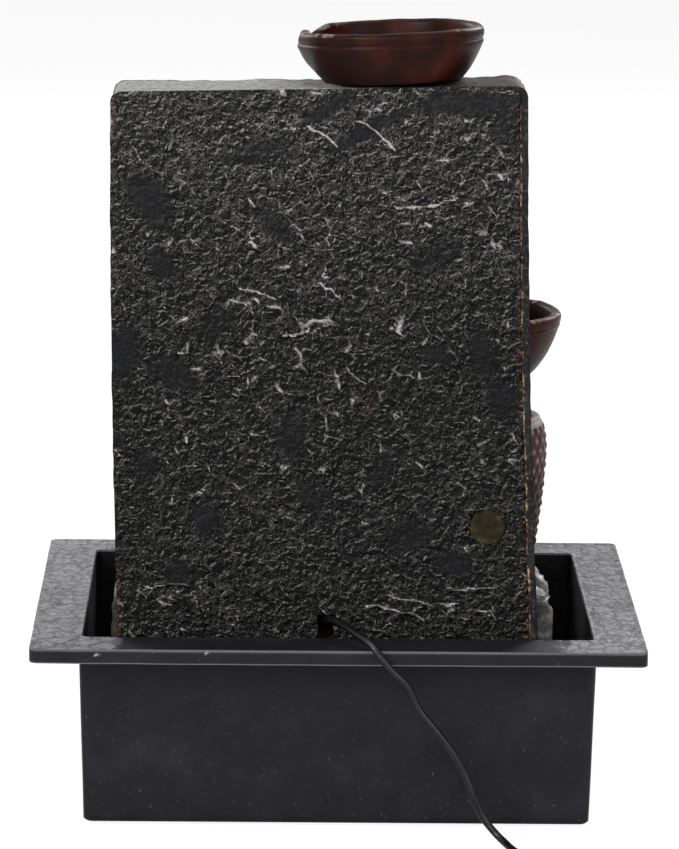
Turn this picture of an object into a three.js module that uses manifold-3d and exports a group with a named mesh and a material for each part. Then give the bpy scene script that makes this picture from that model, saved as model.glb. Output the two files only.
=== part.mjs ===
// Tabletop water fountain: a cast rock-wall tower with bowls, standing in a flanged basin.
// Millimetres, +Z up, the front with the bowls faces -Y, the textured back faces +Y.
// The origin is on the table, at the centre of the basin's footprint.

import * as THREE from 'three';
import { mergeVertices } from 'three/addons/utils/BufferGeometryUtils.js';
import Module from 'manifold-3d';

const wasm = await Module();
wasm.setup();

// ---- driving dimensions ----

const GAP = 0.3; // between pieces that touch

const RIM_WIDTH = 300;
const RIM_DEPTH = 225;
const RIM_HEIGHT = 96;
const FLANGE_SIDE = 25;
const FLANGE_END = 23.5;
const FLANGE_THICKNESS = 3.5;
const LIP_HEIGHT = 7.7;
const LIP_THICKNESS = 3;
const RIM_CORNER = 4;
const BASIN_WALL = 2;
const BASIN_FLOOR = 2.5;
const BASIN_DRAFT = 2.2;
const BASIN_CORNER = 3;
const FOOT_RADIUS = 8;
const FOOT_HEIGHT = 1.2;
const FOOT_INSET = 18;

const BACK_CHANNEL = 3; // from the tower to the basin's opening, on each side
const LEFT_CHANNEL = 20;
const RIGHT_CHANNEL = 21.5;
const TOWER_THICKNESS = 40.5;
const TOWER_HEIGHT = 270.2; // above the rim
const TOWER_TOP_SLOPE = -0.0215;
const TOWER_LEFT_FLARE = 7.2; // outwards, from foot to top
const TOWER_RIGHT_FLARE = -15.5;
const TOWER_CORNER = 6;
const SHELL_WALL = 4;
const BACK_PANEL = 5;
const ARCH_CENTRE = 6;
const ARCH_WIDTH = 84;
const BACK_ARCH_DROP = 10; // below the rim
const FRONT_ARCH_TOP = 62;
const NOTCH_WIDTH = 8;
const NOTCH_RISE = 11; // above the rim

const LEDGE_RISE = 19; // above the rim
const LEDGE_DEPTH = 59.2;
const LEDGE_LEFT_STEP = 8.4; // wider than the tower's foot
const LEDGE_RIGHT_STEP = 4.5;
const LEDGE_WALL = 5;
const LEDGE_CHAMFER = 5;
const INLET_WIDTH = 28;
const INLET_HEIGHT = 18;

const BOWL_WALL = 5;
const SPOUT_RADIUS = 7;
const CORBEL_HEIGHT = 13;
const BOWL_SIDES = 28;

const URN_RADIUS = 28.6;
const URN_HEIGHT = 77;
const URN_WALL = 4;
const URN_INSET = 27.5; // from the tower's right foot
const URN_REACH = 33; // from the wall

const HOSE_RADIUS = 5;
const HOSE_WALL = 1.4;
const RISER_BORE = 2.2;

const PUMP_DEPTH = 30;
const PUMP_LENGTH = 34;
const PUMP_HEIGHT = 33.7;
const PUMP_START = -2;
const PUMP_WALL = 2;
const PUMP_INSET = 20.8; // from the tower's back
const SUCTION_HEIGHT = 5.7;
const SUCTION_RADIUS = 5;
const ROTOR_BORE = 8;
const ROTOR_DEPTH = 20;
const SHAFT_RADIUS = 1;
const VOLUTE_LENGTH = 11;
const VOLUTE_SIZE = 25;
const CHAMBER_RADIUS = 11;
const CHAMBER_DEPTH = 7;
const STRAINER_LENGTH = 22;
const STRAINER_WALL = 1.5;
const DIAL_RADIUS = 9;
const DIAL_THICKNESS = 1.8;

const CORD_RADIUS = 1.8;
const CORD_SIDES = 8;
const COIL_CENTRE = [-115, 198];
const COIL_RADIUS = 20;
const COIL_HALF_BAND = 5.7;
const COIL_HEIGHT = 11;
const TIE_WIDTH = 6;
const PLUG_RADIUS = 4.8;
const PLUG_LENGTH = 17;
const PLUG_RELIEF = 13;
const BARREL_RADIUS = 2.75;
const BARREL_LENGTH = 9.5;
const BARREL_BORE = 1.25;

// ---- solids ----

// A closed mesh with shared vertices, as a solid that can be cut and joined.
function solid(geometry) {
  const bare = new THREE.BufferGeometry();
  bare.setAttribute('position', geometry.getAttribute('position'));
  if (geometry.index) bare.setIndex(geometry.index);
  const merged = mergeVertices(bare, 1e-4);
  const vertProperties = new Float32Array(merged.getAttribute('position').array);
  const triVerts = new Uint32Array(merged.index.array);
  return new wasm.Manifold(new wasm.Mesh({ numProp: 3, vertProperties, triVerts }));
}

function geometryOf(body) {
  const mesh = body.getMesh();
  const geometry = new THREE.BufferGeometry();
  geometry.setAttribute('position', new THREE.BufferAttribute(mesh.vertProperties, 3));
  geometry.setIndex(new THREE.BufferAttribute(mesh.triVerts, 1));
  return geometry;
}

function joined(first, ...others) {
  return others.reduce((sum, other) => sum.add(other), first);
}

function cut(first, ...others) {
  return others.reduce((rest, other) => rest.subtract(other), first);
}

// A block between two corners.
function block(low, high) {
  const size = high.map((value, i) => value - low[i]);
  const box = new THREE.BoxGeometry(...size);
  box.translate(low[0] + size[0] / 2, low[1] + size[1] / 2, low[2] + size[2] / 2);
  return solid(box);
}

// A round bar from one point to another.
function bar(radius, from, to, sides = 16, endRadius = radius) {
  const start = new THREE.Vector3(...from);
  const end = new THREE.Vector3(...to);
  const axis = end.clone().sub(start);
  const rod = new THREE.CylinderGeometry(endRadius, radius, axis.length(), sides);
  const upright = new THREE.Vector3(0, 1, 0);
  rod.applyQuaternion(new THREE.Quaternion().setFromUnitVectors(upright, axis.clone().normalize()));
  rod.translate(...start.add(end).multiplyScalar(0.5).toArray());
  return solid(rod);
}

function roundedRectangle(width, depth, corner) {
  const x = width / 2;
  const y = depth / 2;
  const shape = new THREE.Shape();
  shape.moveTo(x - corner, -y);
  shape.absarc(x - corner, -y + corner, corner, -Math.PI / 2, 0, false);
  shape.absarc(x - corner, y - corner, corner, 0, Math.PI / 2, false);
  shape.absarc(-x + corner, y - corner, corner, Math.PI / 2, Math.PI, false);
  shape.absarc(-x + corner, -y + corner, corner, Math.PI, 1.5 * Math.PI, false);
  return shape;
}

// A flat shape raised between two heights, drawn in on every side by a draft at the bottom.
function raised(shape, bottom, top, width = 1, depth = 1, draft = 0) {
  const geometry = new THREE.ExtrudeGeometry(shape, {
    depth: top - bottom, bevelEnabled: false, curveSegments: 4,
  });
  const position = geometry.getAttribute('position');
  for (let i = 0; i < position.count; i += 1) {
    const shrink = draft * (1 - position.getZ(i) / (top - bottom));
    position.setX(i, position.getX(i) * (1 - 2 * shrink / width));
    position.setY(i, position.getY(i) * (1 - 2 * shrink / depth));
  }
  geometry.translate(0, 0, bottom);
  return solid(geometry);
}

// An upright outline drawn in x and z, as a slab between two values of y.
function slab(shape, front, back, curveSegments = 8) {
  const geometry = new THREE.ExtrudeGeometry(shape, {
    depth: back - front, bevelEnabled: false, curveSegments,
  });
  geometry.rotateX(Math.PI / 2);
  geometry.translate(0, back, 0);
  return solid(geometry);
}

// A turned body about the z axis, from a profile of [radius, height] that starts and ends on the axis.
function turned(profile, sides = BOWL_SIDES) {
  const points = profile.map(([radius, height]) => new THREE.Vector2(radius, height));
  const geometry = new THREE.LatheGeometry(points, sides);
  geometry.rotateX(Math.PI / 2);
  return solid(geometry);
}

// Points along a curved stretch of a profile, without its first point.
function bend(start, control, end, count) {
  const curve = new THREE.QuadraticBezierCurve(
    new THREE.Vector2(...start), new THREE.Vector2(...control), new THREE.Vector2(...end));
  return curve.getPoints(count).slice(1).map((point) => [point.x, point.y]);
}

function circle(radius, sides) {
  const shape = new THREE.Shape();
  for (let i = 0; i < sides; i += 1) {
    const angle = (2 * Math.PI * i) / sides;
    const point = [radius * Math.cos(angle), radius * Math.sin(angle)];
    if (i === 0) shape.moveTo(...point);
    else shape.lineTo(...point);
  }
  shape.closePath();
  return shape;
}

// A tube along a curve; a bore makes it a hose.
function tube(path, radius, sides, steps, bore = 0) {
  const shape = circle(radius, sides);
  if (bore > 0) shape.holes.push(circle(bore, sides));
  return new THREE.ExtrudeGeometry(shape, { steps, extrudePath: path, bevelEnabled: false });
}

// ---- assembly ----

const fountain = new THREE.Group();

function part(name, body, color, roughness, metalness = 0) {
  const geometry = body instanceof THREE.BufferGeometry ? body : geometryOf(body);
  const mesh = new THREE.Mesh(geometry, new THREE.MeshStandardMaterial({ color, roughness, metalness }));
  mesh.name = name;
  fountain.add(mesh);
}

// ---- basin: one moulded trough with a wide flange and a turned-down lip ----

const basinBottom = FOOT_HEIGHT + GAP;
const innerWidth = RIM_WIDTH - 2 * FLANGE_SIDE;
const innerDepth = RIM_DEPTH - 2 * FLANGE_END;
const floorTop = basinBottom + BASIN_FLOOR;

function basin() {
  const outerWidth = innerWidth + 2 * BASIN_WALL;
  const outerDepth = innerDepth + 2 * BASIN_WALL;
  const body = raised(
    roundedRectangle(outerWidth, outerDepth, BASIN_CORNER + BASIN_WALL),
    basinBottom, RIM_HEIGHT - 1, outerWidth, outerDepth, BASIN_DRAFT);
  const flange = raised(
    roundedRectangle(RIM_WIDTH, RIM_DEPTH, RIM_CORNER), RIM_HEIGHT - LIP_HEIGHT, RIM_HEIGHT);
  const withinLip = roundedRectangle(
    RIM_WIDTH - 2 * LIP_THICKNESS, RIM_DEPTH - 2 * LIP_THICKNESS, RIM_CORNER - LIP_THICKNESS);
  const underside = raised(withinLip, RIM_HEIGHT - LIP_HEIGHT - 1, RIM_HEIGHT - FLANGE_THICKNESS);
  const cavity = raised(
    roundedRectangle(innerWidth, innerDepth, BASIN_CORNER),
    floorTop, RIM_HEIGHT + 1, innerWidth, innerDepth, BASIN_DRAFT);
  return cut(joined(body, cut(flange, underside)), cavity);
}

part('basin', basin(), '#2b2b30', 0.45);

const footX = innerWidth / 2 - BASIN_DRAFT - FOOT_INSET;
const footY = innerDepth / 2 - BASIN_DRAFT - FOOT_INSET;
[[-1, -1], [1, -1], [-1, 1], [1, 1]].forEach(([sideX, sideY], i) => {
  const centre = [sideX * footX, sideY * footY];
  part(`foot_pad_${i + 1}`, bar(FOOT_RADIUS, [...centre, 0], [...centre, FOOT_HEIGHT]), '#161616', 0.9);
});

// ---- tower: hollow front shell with a back panel bonded into it ----

const towerFoot = floorTop + GAP;
const towerBack = innerDepth / 2 - BACK_CHANNEL;
const wallFront = towerBack - TOWER_THICKNESS;
const towerTop = RIM_HEIGHT + TOWER_HEIGHT;
const leftFoot = innerWidth / 2 - LEFT_CHANNEL;
const leftTop = leftFoot + TOWER_LEFT_FLARE;
const rightFoot = -innerWidth / 2 + RIGHT_CHANNEL;
const rightTop = rightFoot - TOWER_RIGHT_FLARE;
const archTop = RIM_HEIGHT - BACK_ARCH_DROP;
const notchTop = RIM_HEIGHT + NOTCH_RISE;
const ledgeTop = RIM_HEIGHT + LEDGE_RISE;
const ledgeLeft = leftFoot + LEDGE_LEFT_STEP;
const ledgeRight = rightFoot - LEDGE_RIGHT_STEP;
const ledgeFront = wallFront - GAP - LEDGE_DEPTH;

// The slab's outline in x and z, drawn in by an inset; it is wider at the foot than at the top.
function towerOutline(inset, bottom, corner) {
  const left = leftTop - inset;
  const right = rightTop + inset;
  const top = towerTop - inset;
  const topLeft = top + TOWER_TOP_SLOPE * left;
  const topRight = top + TOWER_TOP_SLOPE * right;
  const shape = new THREE.Shape();
  shape.moveTo(rightFoot + inset, bottom);
  shape.lineTo(leftFoot - inset, bottom);
  shape.quadraticCurveTo(left + 0.5, topLeft / 2, left, topLeft - corner);
  shape.quadraticCurveTo(left, topLeft, left - corner, topLeft);
  shape.lineTo(right + corner, topRight);
  shape.quadraticCurveTo(right, topRight, right, topRight - corner);
  shape.quadraticCurveTo(right - 3.5, topRight / 2, rightFoot + inset, bottom);
  return shape;
}

function archCut(top, front, back) {
  const half = ARCH_WIDTH / 2;
  const crown = 12;
  const shape = new THREE.Shape();
  shape.moveTo(ARCH_CENTRE - half, 0);
  shape.lineTo(ARCH_CENTRE + half, 0);
  shape.lineTo(ARCH_CENTRE + half, top - crown);
  shape.quadraticCurveTo(ARCH_CENTRE + half, top, ARCH_CENTRE + half - crown, top);
  shape.lineTo(ARCH_CENTRE - half + crown, top);
  shape.quadraticCurveTo(ARCH_CENTRE - half, top, ARCH_CENTRE - half, top - crown);
  return slab(shape, front, back, 3);
}

// Bowls of the cascade; each one is turned, trimmed flat where it meets the wall, and has a spout.
const bowlSeat = wallFront - GAP;
const bowlReach = (rim) => bowlSeat - rim + BOWL_WALL - 1.5;
const urnTop = ledgeTop + GAP + URN_HEIGHT;
const bowls = {
  top_bowl: {
    rim: 44.7, height: 25.2, foot: 33.7, belly: 2, tilt: [3.6, 2.8], spout: 335,
    place: [rightTop + 65, towerBack - 33.5, towerTop + 24.8],
  },
  upper_bowl: {
    rim: 38, height: 33, foot: 17, belly: 8, tilt: [0, 0], spout: 215,
    place: [leftTop - 60.2, bowlReach(38), towerTop - 48],
  },
  middle_bowl: {
    rim: 40.6, height: 39, foot: 17, belly: 9, tilt: [0, 0], spout: 320,
    place: [rightTop + 17.8, bowlReach(40.6), urnTop + CORBEL_HEIGHT + 39 + 2 * GAP],
  },
  lower_bowl: {
    rim: 38, height: 33, foot: 17, belly: 8, tilt: [0, 0], spout: 225,
    place: [leftFoot - 57, bowlReach(38), ledgeTop + 61],
  },
};

function corbel({ rim, height, foot, place }) {
  const [x, y, z] = place;
  const top = z - height - GAP;
  const shelf = bar(
    foot - 5, [x, wallFront + 6, top - CORBEL_HEIGHT - 6], [x, y + 4, top + 8], 12, foot + 3);
  const keep = block([x - rim, y - rim, top - CORBEL_HEIGHT], [x + rim, wallFront + SHELL_WALL / 2, top]);
  return shelf.intersect(keep);
}

const riserPlace = [bowls.top_bowl.place[0], towerBack - 28];
const risingBore = HOSE_RADIUS - HOSE_WALL + GAP;

function frontShell() {
  const outer = slab(towerOutline(0, towerFoot, TOWER_CORNER), wallFront, towerBack);
  const cavity = slab(towerOutline(SHELL_WALL, 0, TOWER_CORNER), wallFront + SHELL_WALL, towerBack + 1);
  const arch = archCut(FRONT_ARCH_TOP, wallFront - 1, wallFront + SHELL_WALL + 1);
  const riserHole = bar(risingBore, [...riserPlace, towerTop - 12], [...riserPlace, towerTop + 4], 12);
  const shell = cut(outer, cavity, arch, riserHole);
  return joined(shell, corbel(bowls.upper_bowl), corbel(bowls.middle_bowl), corbel(bowls.lower_bowl));
}

function backPanel() {
  const plate = slab(
    towerOutline(SHELL_WALL + GAP, towerFoot, TOWER_CORNER), towerBack - BACK_PANEL, towerBack);
  const notch = block(
    [ARCH_CENTRE - NOTCH_WIDTH / 2, towerBack - BACK_PANEL - 1, archTop - 3],
    [ARCH_CENTRE + NOTCH_WIDTH / 2, towerBack + 1, notchTop]);
  return cut(plate, archCut(archTop, towerBack - BACK_PANEL - 1, towerBack + 1), notch);
}

part('wall_front_shell', frontShell(), '#4a3b2c', 0.75);
part('wall_back_panel', backPanel(), '#2a2a2b', 0.65);

// ---- rock base: a hollow cast ledge in front of the wall, open below and behind ----

function rockOutline(inset) {
  const left = ledgeLeft - inset;
  const right = ledgeRight + inset;
  const front = ledgeFront + inset;
  const back = wallFront - GAP - inset;
  const shape = new THREE.Shape();
  shape.moveTo(right, back);
  shape.lineTo(right, front + 22);
  shape.lineTo(right + 14, front + 6);
  shape.lineTo(right + 62, front);
  shape.lineTo(right + 96, front + 9);
  shape.lineTo(left - 82, front + 3);
  shape.lineTo(left - 18, front + 8);
  shape.lineTo(left, front + 26);
  shape.lineTo(left, back);
  return shape;
}

function rockBase() {
  const geometry = new THREE.ExtrudeGeometry(rockOutline(0), {
    depth: ledgeTop - towerFoot - LEDGE_CHAMFER,
    bevelSize: LEDGE_CHAMFER, bevelOffset: -LEDGE_CHAMFER, bevelThickness: LEDGE_CHAMFER, bevelSegments: 1,
  });
  geometry.translate(0, 0, towerFoot);
  const low = block([-RIM_WIDTH, -RIM_DEPTH, -LEDGE_CHAMFER], [RIM_WIDTH, RIM_DEPTH, towerFoot]);
  const hollow = raised(rockOutline(LEDGE_WALL), 0, ledgeTop - LEDGE_WALL - LEDGE_CHAMFER / 2);
  const inlets = [ledgeRight + 48, ledgeLeft - 43.4].map((x) => block(
    [x - INLET_WIDTH / 2, ledgeFront - 1, 0], [x + INLET_WIDTH / 2, ledgeFront + 24, INLET_HEIGHT]));
  const arch = archCut(FRONT_ARCH_TOP, wallFront - LEDGE_WALL - 2, wallFront);
  return cut(solid(geometry), low, hollow, arch, ...inlets);
}

part('rock_base', rockBase(), '#6b5a48', 0.85);

// ---- bowls ----

function bowlBody({ rim, height, foot, spout, belly }, sink) {
  const profile = [
    [0, -sink],
    [foot, -sink],
    [foot + 0.5, 3],
    ...bend([foot + 0.5, 3], [rim - belly, 6], [rim - 2.2, height - 8], 5),
    [rim - 0.2, height - 5.5],
    [rim, height - 2],
    [rim - 1.2, height],
    [rim - BOWL_WALL + 1, height],
    ...bend([rim - BOWL_WALL + 1, height], [rim - BOWL_WALL - 2, BOWL_WALL + 2], [foot - 4, BOWL_WALL], 5),
    [0, BOWL_WALL],
  ];
  const angle = THREE.MathUtils.degToRad(spout);
  const out = [Math.cos(angle), Math.sin(angle)];
  const level = height + SPOUT_RADIUS / 4;
  const near = [out[0] * (rim - 12), out[1] * (rim - 12), level];
  const far = [out[0] * (rim + 4), out[1] * (rim + 4), level];
  return cut(turned(profile), bar(SPOUT_RADIUS, near, far, 12));
}

function placedBowl(bowl, sink = 0) {
  const [x, y, z] = bowl.place;
  const [forward, sideways] = bowl.tilt;
  const atRim = bowlBody(bowl, sink).translate([0, 0, -bowl.height]);
  return atRim.rotate([forward, sideways, 0]).translate([x, y, z]);
}

const behindSeat = block([-RIM_WIDTH, bowlSeat, 0], [RIM_WIDTH, towerBack, towerTop - 20]);
const glaze = '#4a1f19';

function topBowl() {
  const seat = slab(
    towerOutline(-GAP, towerFoot, TOWER_CORNER), wallFront - 60, towerBack + 10);
  const inletHole = bar(risingBore, [...riserPlace, towerTop - 12], [...riserPlace, towerTop + 24], 12);
  return cut(placedBowl(bowls.top_bowl, 3), seat, inletHole);
}

part('top_bowl', topBowl(), glaze, 0.35);
['upper_bowl', 'middle_bowl', 'lower_bowl'].forEach((name) => {
  part(name, cut(placedBowl(bowls[name]), behindSeat), glaze, 0.35);
});

// ---- urn: a tall jar on the ledge, under the middle bowl ----

function urn() {
  const mouth = URN_RADIUS - 3.2;
  const shoulder = URN_HEIGHT - 17;
  const foot = URN_RADIUS - 6.6;
  const profile = [
    [0, 0],
    [foot, 0],
    [foot + 1.4, 3],
    ...bend([foot + 1.4, 3], [URN_RADIUS - 1.6, shoulder / 2], [URN_RADIUS, shoulder], 4),
    ...bend([URN_RADIUS, shoulder], [URN_RADIUS - 0.2, URN_HEIGHT - 6], [mouth, URN_HEIGHT - 2], 3),
    [mouth, URN_HEIGHT],
    [mouth - URN_WALL, URN_HEIGHT],
    [mouth - URN_WALL, URN_HEIGHT - 6],
    [URN_RADIUS - URN_WALL, shoulder],
    [foot - URN_WALL + 1, URN_WALL + 2],
    [0, URN_WALL],
  ];
  return turned(profile).translate([rightFoot + URN_INSET, wallFront - URN_REACH, ledgeTop + GAP]);
}

part('urn', urn(), '#5a3a33', 0.6);

// ---- pump: standing on four suction cups inside the foot of the tower ----

const pumpY = towerBack - PUMP_INSET;
const pumpBottom = floorTop + GAP + SUCTION_HEIGHT + GAP;
const pumpTop = pumpBottom + PUMP_HEIGHT;
const axisZ = pumpBottom + PUMP_HEIGHT / 2;
const pumpFront = pumpY - PUMP_DEPTH / 2;
const pumpBack = pumpY + PUMP_DEPTH / 2;
const pumpEnd = PUMP_START + PUMP_LENGTH;
const black = '#17181a';

// A bar along the pump's axis, which runs in x.
function axial(radius, from, to, sides = 20) {
  return bar(radius, [from, pumpY, axisZ], [to, pumpY, axisZ], sides);
}

function pumpHousing() {
  const wall = PUMP_WALL;
  const outer = block([PUMP_START, pumpFront, pumpBottom], [pumpEnd, pumpBack, pumpTop]);
  const pocket = block(
    [PUMP_START + wall + 1, pumpFront + wall, pumpBottom + wall],
    [pumpEnd + 1, pumpBack - wall, pumpTop - wall]);
  const liner = axial(ROTOR_BORE + 1.5, PUMP_START, PUMP_START + ROTOR_DEPTH + 1.5);
  const bore = axial(ROTOR_BORE, PUMP_START - 1, PUMP_START + ROTOR_DEPTH);
  const shaftSocket = axial(SHAFT_RADIUS + GAP, PUMP_START, PUMP_START + ROTOR_DEPTH + 0.8, 10);
  return cut(joined(cut(outer, pocket), liner), bore, shaftSocket);
}

const coreStart = PUMP_START + 5;
const coreEnd = PUMP_START + ROTOR_DEPTH + 9;
const yoke = 3.5;
const legInner = ROTOR_BORE + 2;
const legOuter = legInner + yoke;
const coreHalf = 6;

function statorCore() {
  const outer = block(
    [coreStart, pumpY - coreHalf, axisZ - legOuter], [coreEnd, pumpY + coreHalf, axisZ + legOuter]);
  const between = block(
    [coreStart - 1, pumpY - coreHalf - 1, axisZ - legInner],
    [coreEnd - yoke, pumpY + coreHalf + 1, axisZ + legInner]);
  return cut(outer, between);
}

function statorCoil() {
  const height = legInner - 2 * GAP;
  const winding = 4;
  const low = coreEnd - yoke;
  const outer = block(
    [low - 3.2, pumpY - coreHalf - winding, axisZ - height],
    [coreEnd + 2.6, pumpY + coreHalf + winding, axisZ + height]);
  const window = block(
    [low - GAP, pumpY - coreHalf - GAP, axisZ - height - 1],
    [coreEnd + GAP, pumpY + coreHalf + GAP, axisZ + height + 1]);
  return cut(outer, window);
}

const capStart = pumpEnd + GAP;
const capEnd = capStart + 2.5;
const glandEnd = capEnd + GAP + 6;
const leadBore = CORD_RADIUS + GAP;

function endCap() {
  const plate = block([capStart, pumpFront, pumpBottom], [capEnd, pumpBack, pumpTop]);
  return cut(plate, axial(leadBore, capStart - 1, capEnd + 1, 12));
}

function cableGland() {
  const sleeve = axial(leadBore + 2, capEnd + GAP, glandEnd, 14);
  return cut(sleeve, axial(leadBore, capEnd, glandEnd + 1, 12));
}

part('pump_housing', pumpHousing(), black, 0.5);
part('pump_end_cap', endCap(), black, 0.5);
part('cable_gland', cableGland(), '#101010', 0.7);
part('stator_core', statorCore(), '#7c7f83', 0.4, 0.8);
part('stator_coil', statorCoil(), '#8a4b23', 0.4, 0.5);

const voluteEnd = PUMP_START - GAP;
const voluteStart = voluteEnd - VOLUTE_LENGTH;
const outletX = voluteEnd - CHAMBER_DEPTH / 2;
const voluteHalf = VOLUTE_SIZE / 2;
const bushRadius = SHAFT_RADIUS + GAP + 1;
const outletBore = 2.2;
const bossRadius = 3.3;

function voluteCover() {
  const body = block(
    [voluteStart, pumpY - voluteHalf, axisZ - voluteHalf],
    [voluteEnd, pumpY + voluteHalf, axisZ + voluteHalf]);
  const boss = bar(
    bossRadius, [outletX, pumpY, axisZ + voluteHalf - 1], [outletX, pumpY, pumpTop + 2]);
  const chamber = axial(CHAMBER_RADIUS, voluteEnd - CHAMBER_DEPTH, voluteEnd + 1);
  const outlet = bar(
    outletBore, [outletX, pumpY, axisZ + 4], [outletX, pumpY, pumpTop + 3], 12);
  const inlet = axial(5, voluteStart - 1, voluteEnd - CHAMBER_DEPTH + 1);
  const bridge = block(
    [voluteStart, pumpY - 6, axisZ - bushRadius - 1],
    [voluteEnd - CHAMBER_DEPTH, pumpY + 6, axisZ + bushRadius + 1]);
  const bushSeat = axial(bushRadius + GAP, voluteStart - 1, voluteEnd - CHAMBER_DEPTH + 1, 12);
  return cut(joined(cut(joined(body, boss), chamber, outlet, inlet), bridge), bushSeat);
}

function bush(from, to) {
  return cut(axial(bushRadius, from, to, 12), axial(SHAFT_RADIUS + GAP, from - 1, to + 1, 10));
}

const magnetStart = PUMP_START + 0.7;
const magnetEnd = PUMP_START + ROTOR_DEPTH - 2.6;
const bladeEnd = voluteEnd - CHAMBER_DEPTH + 0.8;

function impeller() {
  const magnet = axial(ROTOR_BORE - 0.5, magnetStart, magnetEnd);
  const hub = axial(3.2, bladeEnd, magnetStart + 1, 12);
  const blades = [0, 1, 2, 3, 4, 5].map((i) => {
    const blade = block([bladeEnd, -0.6, 1], [magnetStart - 1.4, 0.6, CHAMBER_RADIUS - 1.2]);
    return blade.rotate([60 * i, 0, 0]).translate([0, pumpY, axisZ]);
  });
  const shroud = axial(CHAMBER_RADIUS - 1.2, magnetStart - 2.4, magnetStart - 1.2);
  const bore = axial(SHAFT_RADIUS + GAP, bladeEnd - 1, magnetEnd + 1, 10);
  return cut(joined(magnet, hub, shroud, ...blades), bore);
}

part('volute_cover', voluteCover(), black, 0.5);
part('impeller', impeller(), '#2d2f33', 0.5);
const shaft = axial(SHAFT_RADIUS, voluteStart + 0.6, PUMP_START + ROTOR_DEPTH + 0.5, 10);
part('rotor_shaft', shaft, '#e8e6df', 0.3);
part('front_bush', bush(voluteStart + 0.2, voluteEnd - CHAMBER_DEPTH - 0.2), '#1b1b1b', 0.9);
part('rear_bush', bush(magnetEnd + 0.5, PUMP_START + ROTOR_DEPTH - GAP), '#1b1b1b', 0.9);

const strainerEnd = voluteEnd - GAP;
const strainerStart = strainerEnd - STRAINER_LENGTH;
const dialBack = strainerStart - GAP;
const portOffset = 5;
const pinRadius = 1.4;

function strainerCover() {
  const wall = STRAINER_WALL;
  const outer = block([strainerStart, pumpFront, pumpBottom], [strainerEnd, pumpBack, pumpTop]);
  const inside = block(
    [strainerStart + wall, pumpFront + wall, pumpBottom + wall],
    [strainerEnd + 1, pumpBack - wall, pumpTop - wall]);
  const bossSlot = block(
    [outletX - bossRadius - 0.5, pumpY - bossRadius - 0.5, pumpTop - wall - 1],
    [strainerEnd + 1, pumpY + bossRadius + 0.5, pumpTop + 1]);
  const pitch = 5.2;
  const slots = [-2, -1, 1, 2].map((i) => block(
    [strainerStart + 4, pumpY + pitch * i - 1.2, pumpTop - wall - 1],
    [outletX - bossRadius - 3, pumpY + pitch * i + 1.2, pumpTop + 1]));
  const intakes = [-1, 1].map((side) => block(
    [strainerStart - 1, pumpY + portOffset * side - 2, axisZ - 5],
    [strainerStart + wall + 1, pumpY + portOffset * side + 2, axisZ + 5]));
  const pinHole = axial(pinRadius + 0.4, strainerStart - 1, strainerStart + wall + 1, 12);
  return cut(outer, inside, bossSlot, pinHole, ...slots, ...intakes);
}

function flowDial() {
  const dialFront = dialBack - DIAL_THICKNESS;
  const gripHalf = DIAL_RADIUS - 2;
  const disc = axial(DIAL_RADIUS, dialFront, dialBack);
  const grip = block(
    [dialFront - 2, pumpY - 1, axisZ - gripHalf], [dialFront + 0.5, pumpY + 1, axisZ + gripHalf]);
  const pin = axial(pinRadius, dialBack - 1, strainerStart + STRAINER_WALL + 1, 12);
  const ports = [-1, 1].map((side) => bar(
    2.2, [dialFront - 1, pumpY + portOffset * side, axisZ],
    [dialBack + 0.2, pumpY + portOffset * side, axisZ], 12));
  return cut(joined(disc, grip, pin), ...ports);
}

part('strainer_cover', strainerCover(), '#1d1f22', 0.5);
part('flow_dial', flowDial(), '#3a6ea5', 0.45);

const cupX = [pumpEnd - 5, PUMP_START + 6];
const cupReach = 9.5;
[[cupX[0], -1], [cupX[0], 1], [cupX[1], -1], [cupX[1], 1]].forEach(([x, side], i) => {
  const neck = 2.4;
  const profile = [
    [0, 1.6], [SUCTION_RADIUS - 1, 0], [SUCTION_RADIUS, 0],
    [neck, 3.4], [neck, SUCTION_HEIGHT], [0, SUCTION_HEIGHT],
  ];
  const cup = turned(profile, 16).translate([x, pumpY + side * cupReach, floorTop + GAP]);
  part(`suction_cup_${i + 1}`, cup, '#2a2a2a', 0.8);
});

const nozzleBottom = pumpTop + 2 + GAP;
const collarHeight = 3;
const nozzleTop = nozzleBottom + 14;
const hoseStart = nozzleBottom + collarHeight + GAP;

// A straight spigot with a collar that the hose pushes over.
function spigot(x, y, bottom, top, collarBottom, collarTop) {
  const pipe = bar(HOSE_RADIUS - HOSE_WALL - GAP, [x, y, bottom], [x, y, top], 14);
  const collar = bar(HOSE_RADIUS, [x, y, collarBottom], [x, y, collarTop], 14);
  return cut(joined(pipe, collar), bar(RISER_BORE, [x, y, bottom - 1], [x, y, top + 1], 12));
}

const outletNozzle = spigot(
  outletX, pumpY, nozzleBottom, nozzleTop, nozzleBottom, nozzleBottom + collarHeight);
part('outlet_nozzle', outletNozzle, black, 0.5);

// ---- supply hose and riser: up inside the tower to the top bowl ----

const hoseTop = towerTop - SHELL_WALL - GAP - collarHeight;
const bowlFloor = bowls.top_bowl.place[2] - bowls.top_bowl.height + BOWL_WALL;
const riserTop = bowlFloor + 6;
const hosePath = new THREE.CubicBezierCurve3(
  new THREE.Vector3(outletX, pumpY, hoseStart),
  new THREE.Vector3(outletX, pumpY, hoseStart + (hoseTop - hoseStart) * 0.4),
  new THREE.Vector3(...riserPlace, hoseStart + (hoseTop - hoseStart) * 0.6),
  new THREE.Vector3(...riserPlace, hoseTop));

part('supply_hose', tube(hosePath, HOSE_RADIUS, 10, 14, HOSE_RADIUS - HOSE_WALL), '#9fb0ae', 0.3);
const riser = spigot(...riserPlace, hoseTop - 10, riserTop, riserTop - collarHeight, riserTop);
part('riser_nozzle', riser, black, 0.5);

// ---- round blank sticker on the back panel ----

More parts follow.
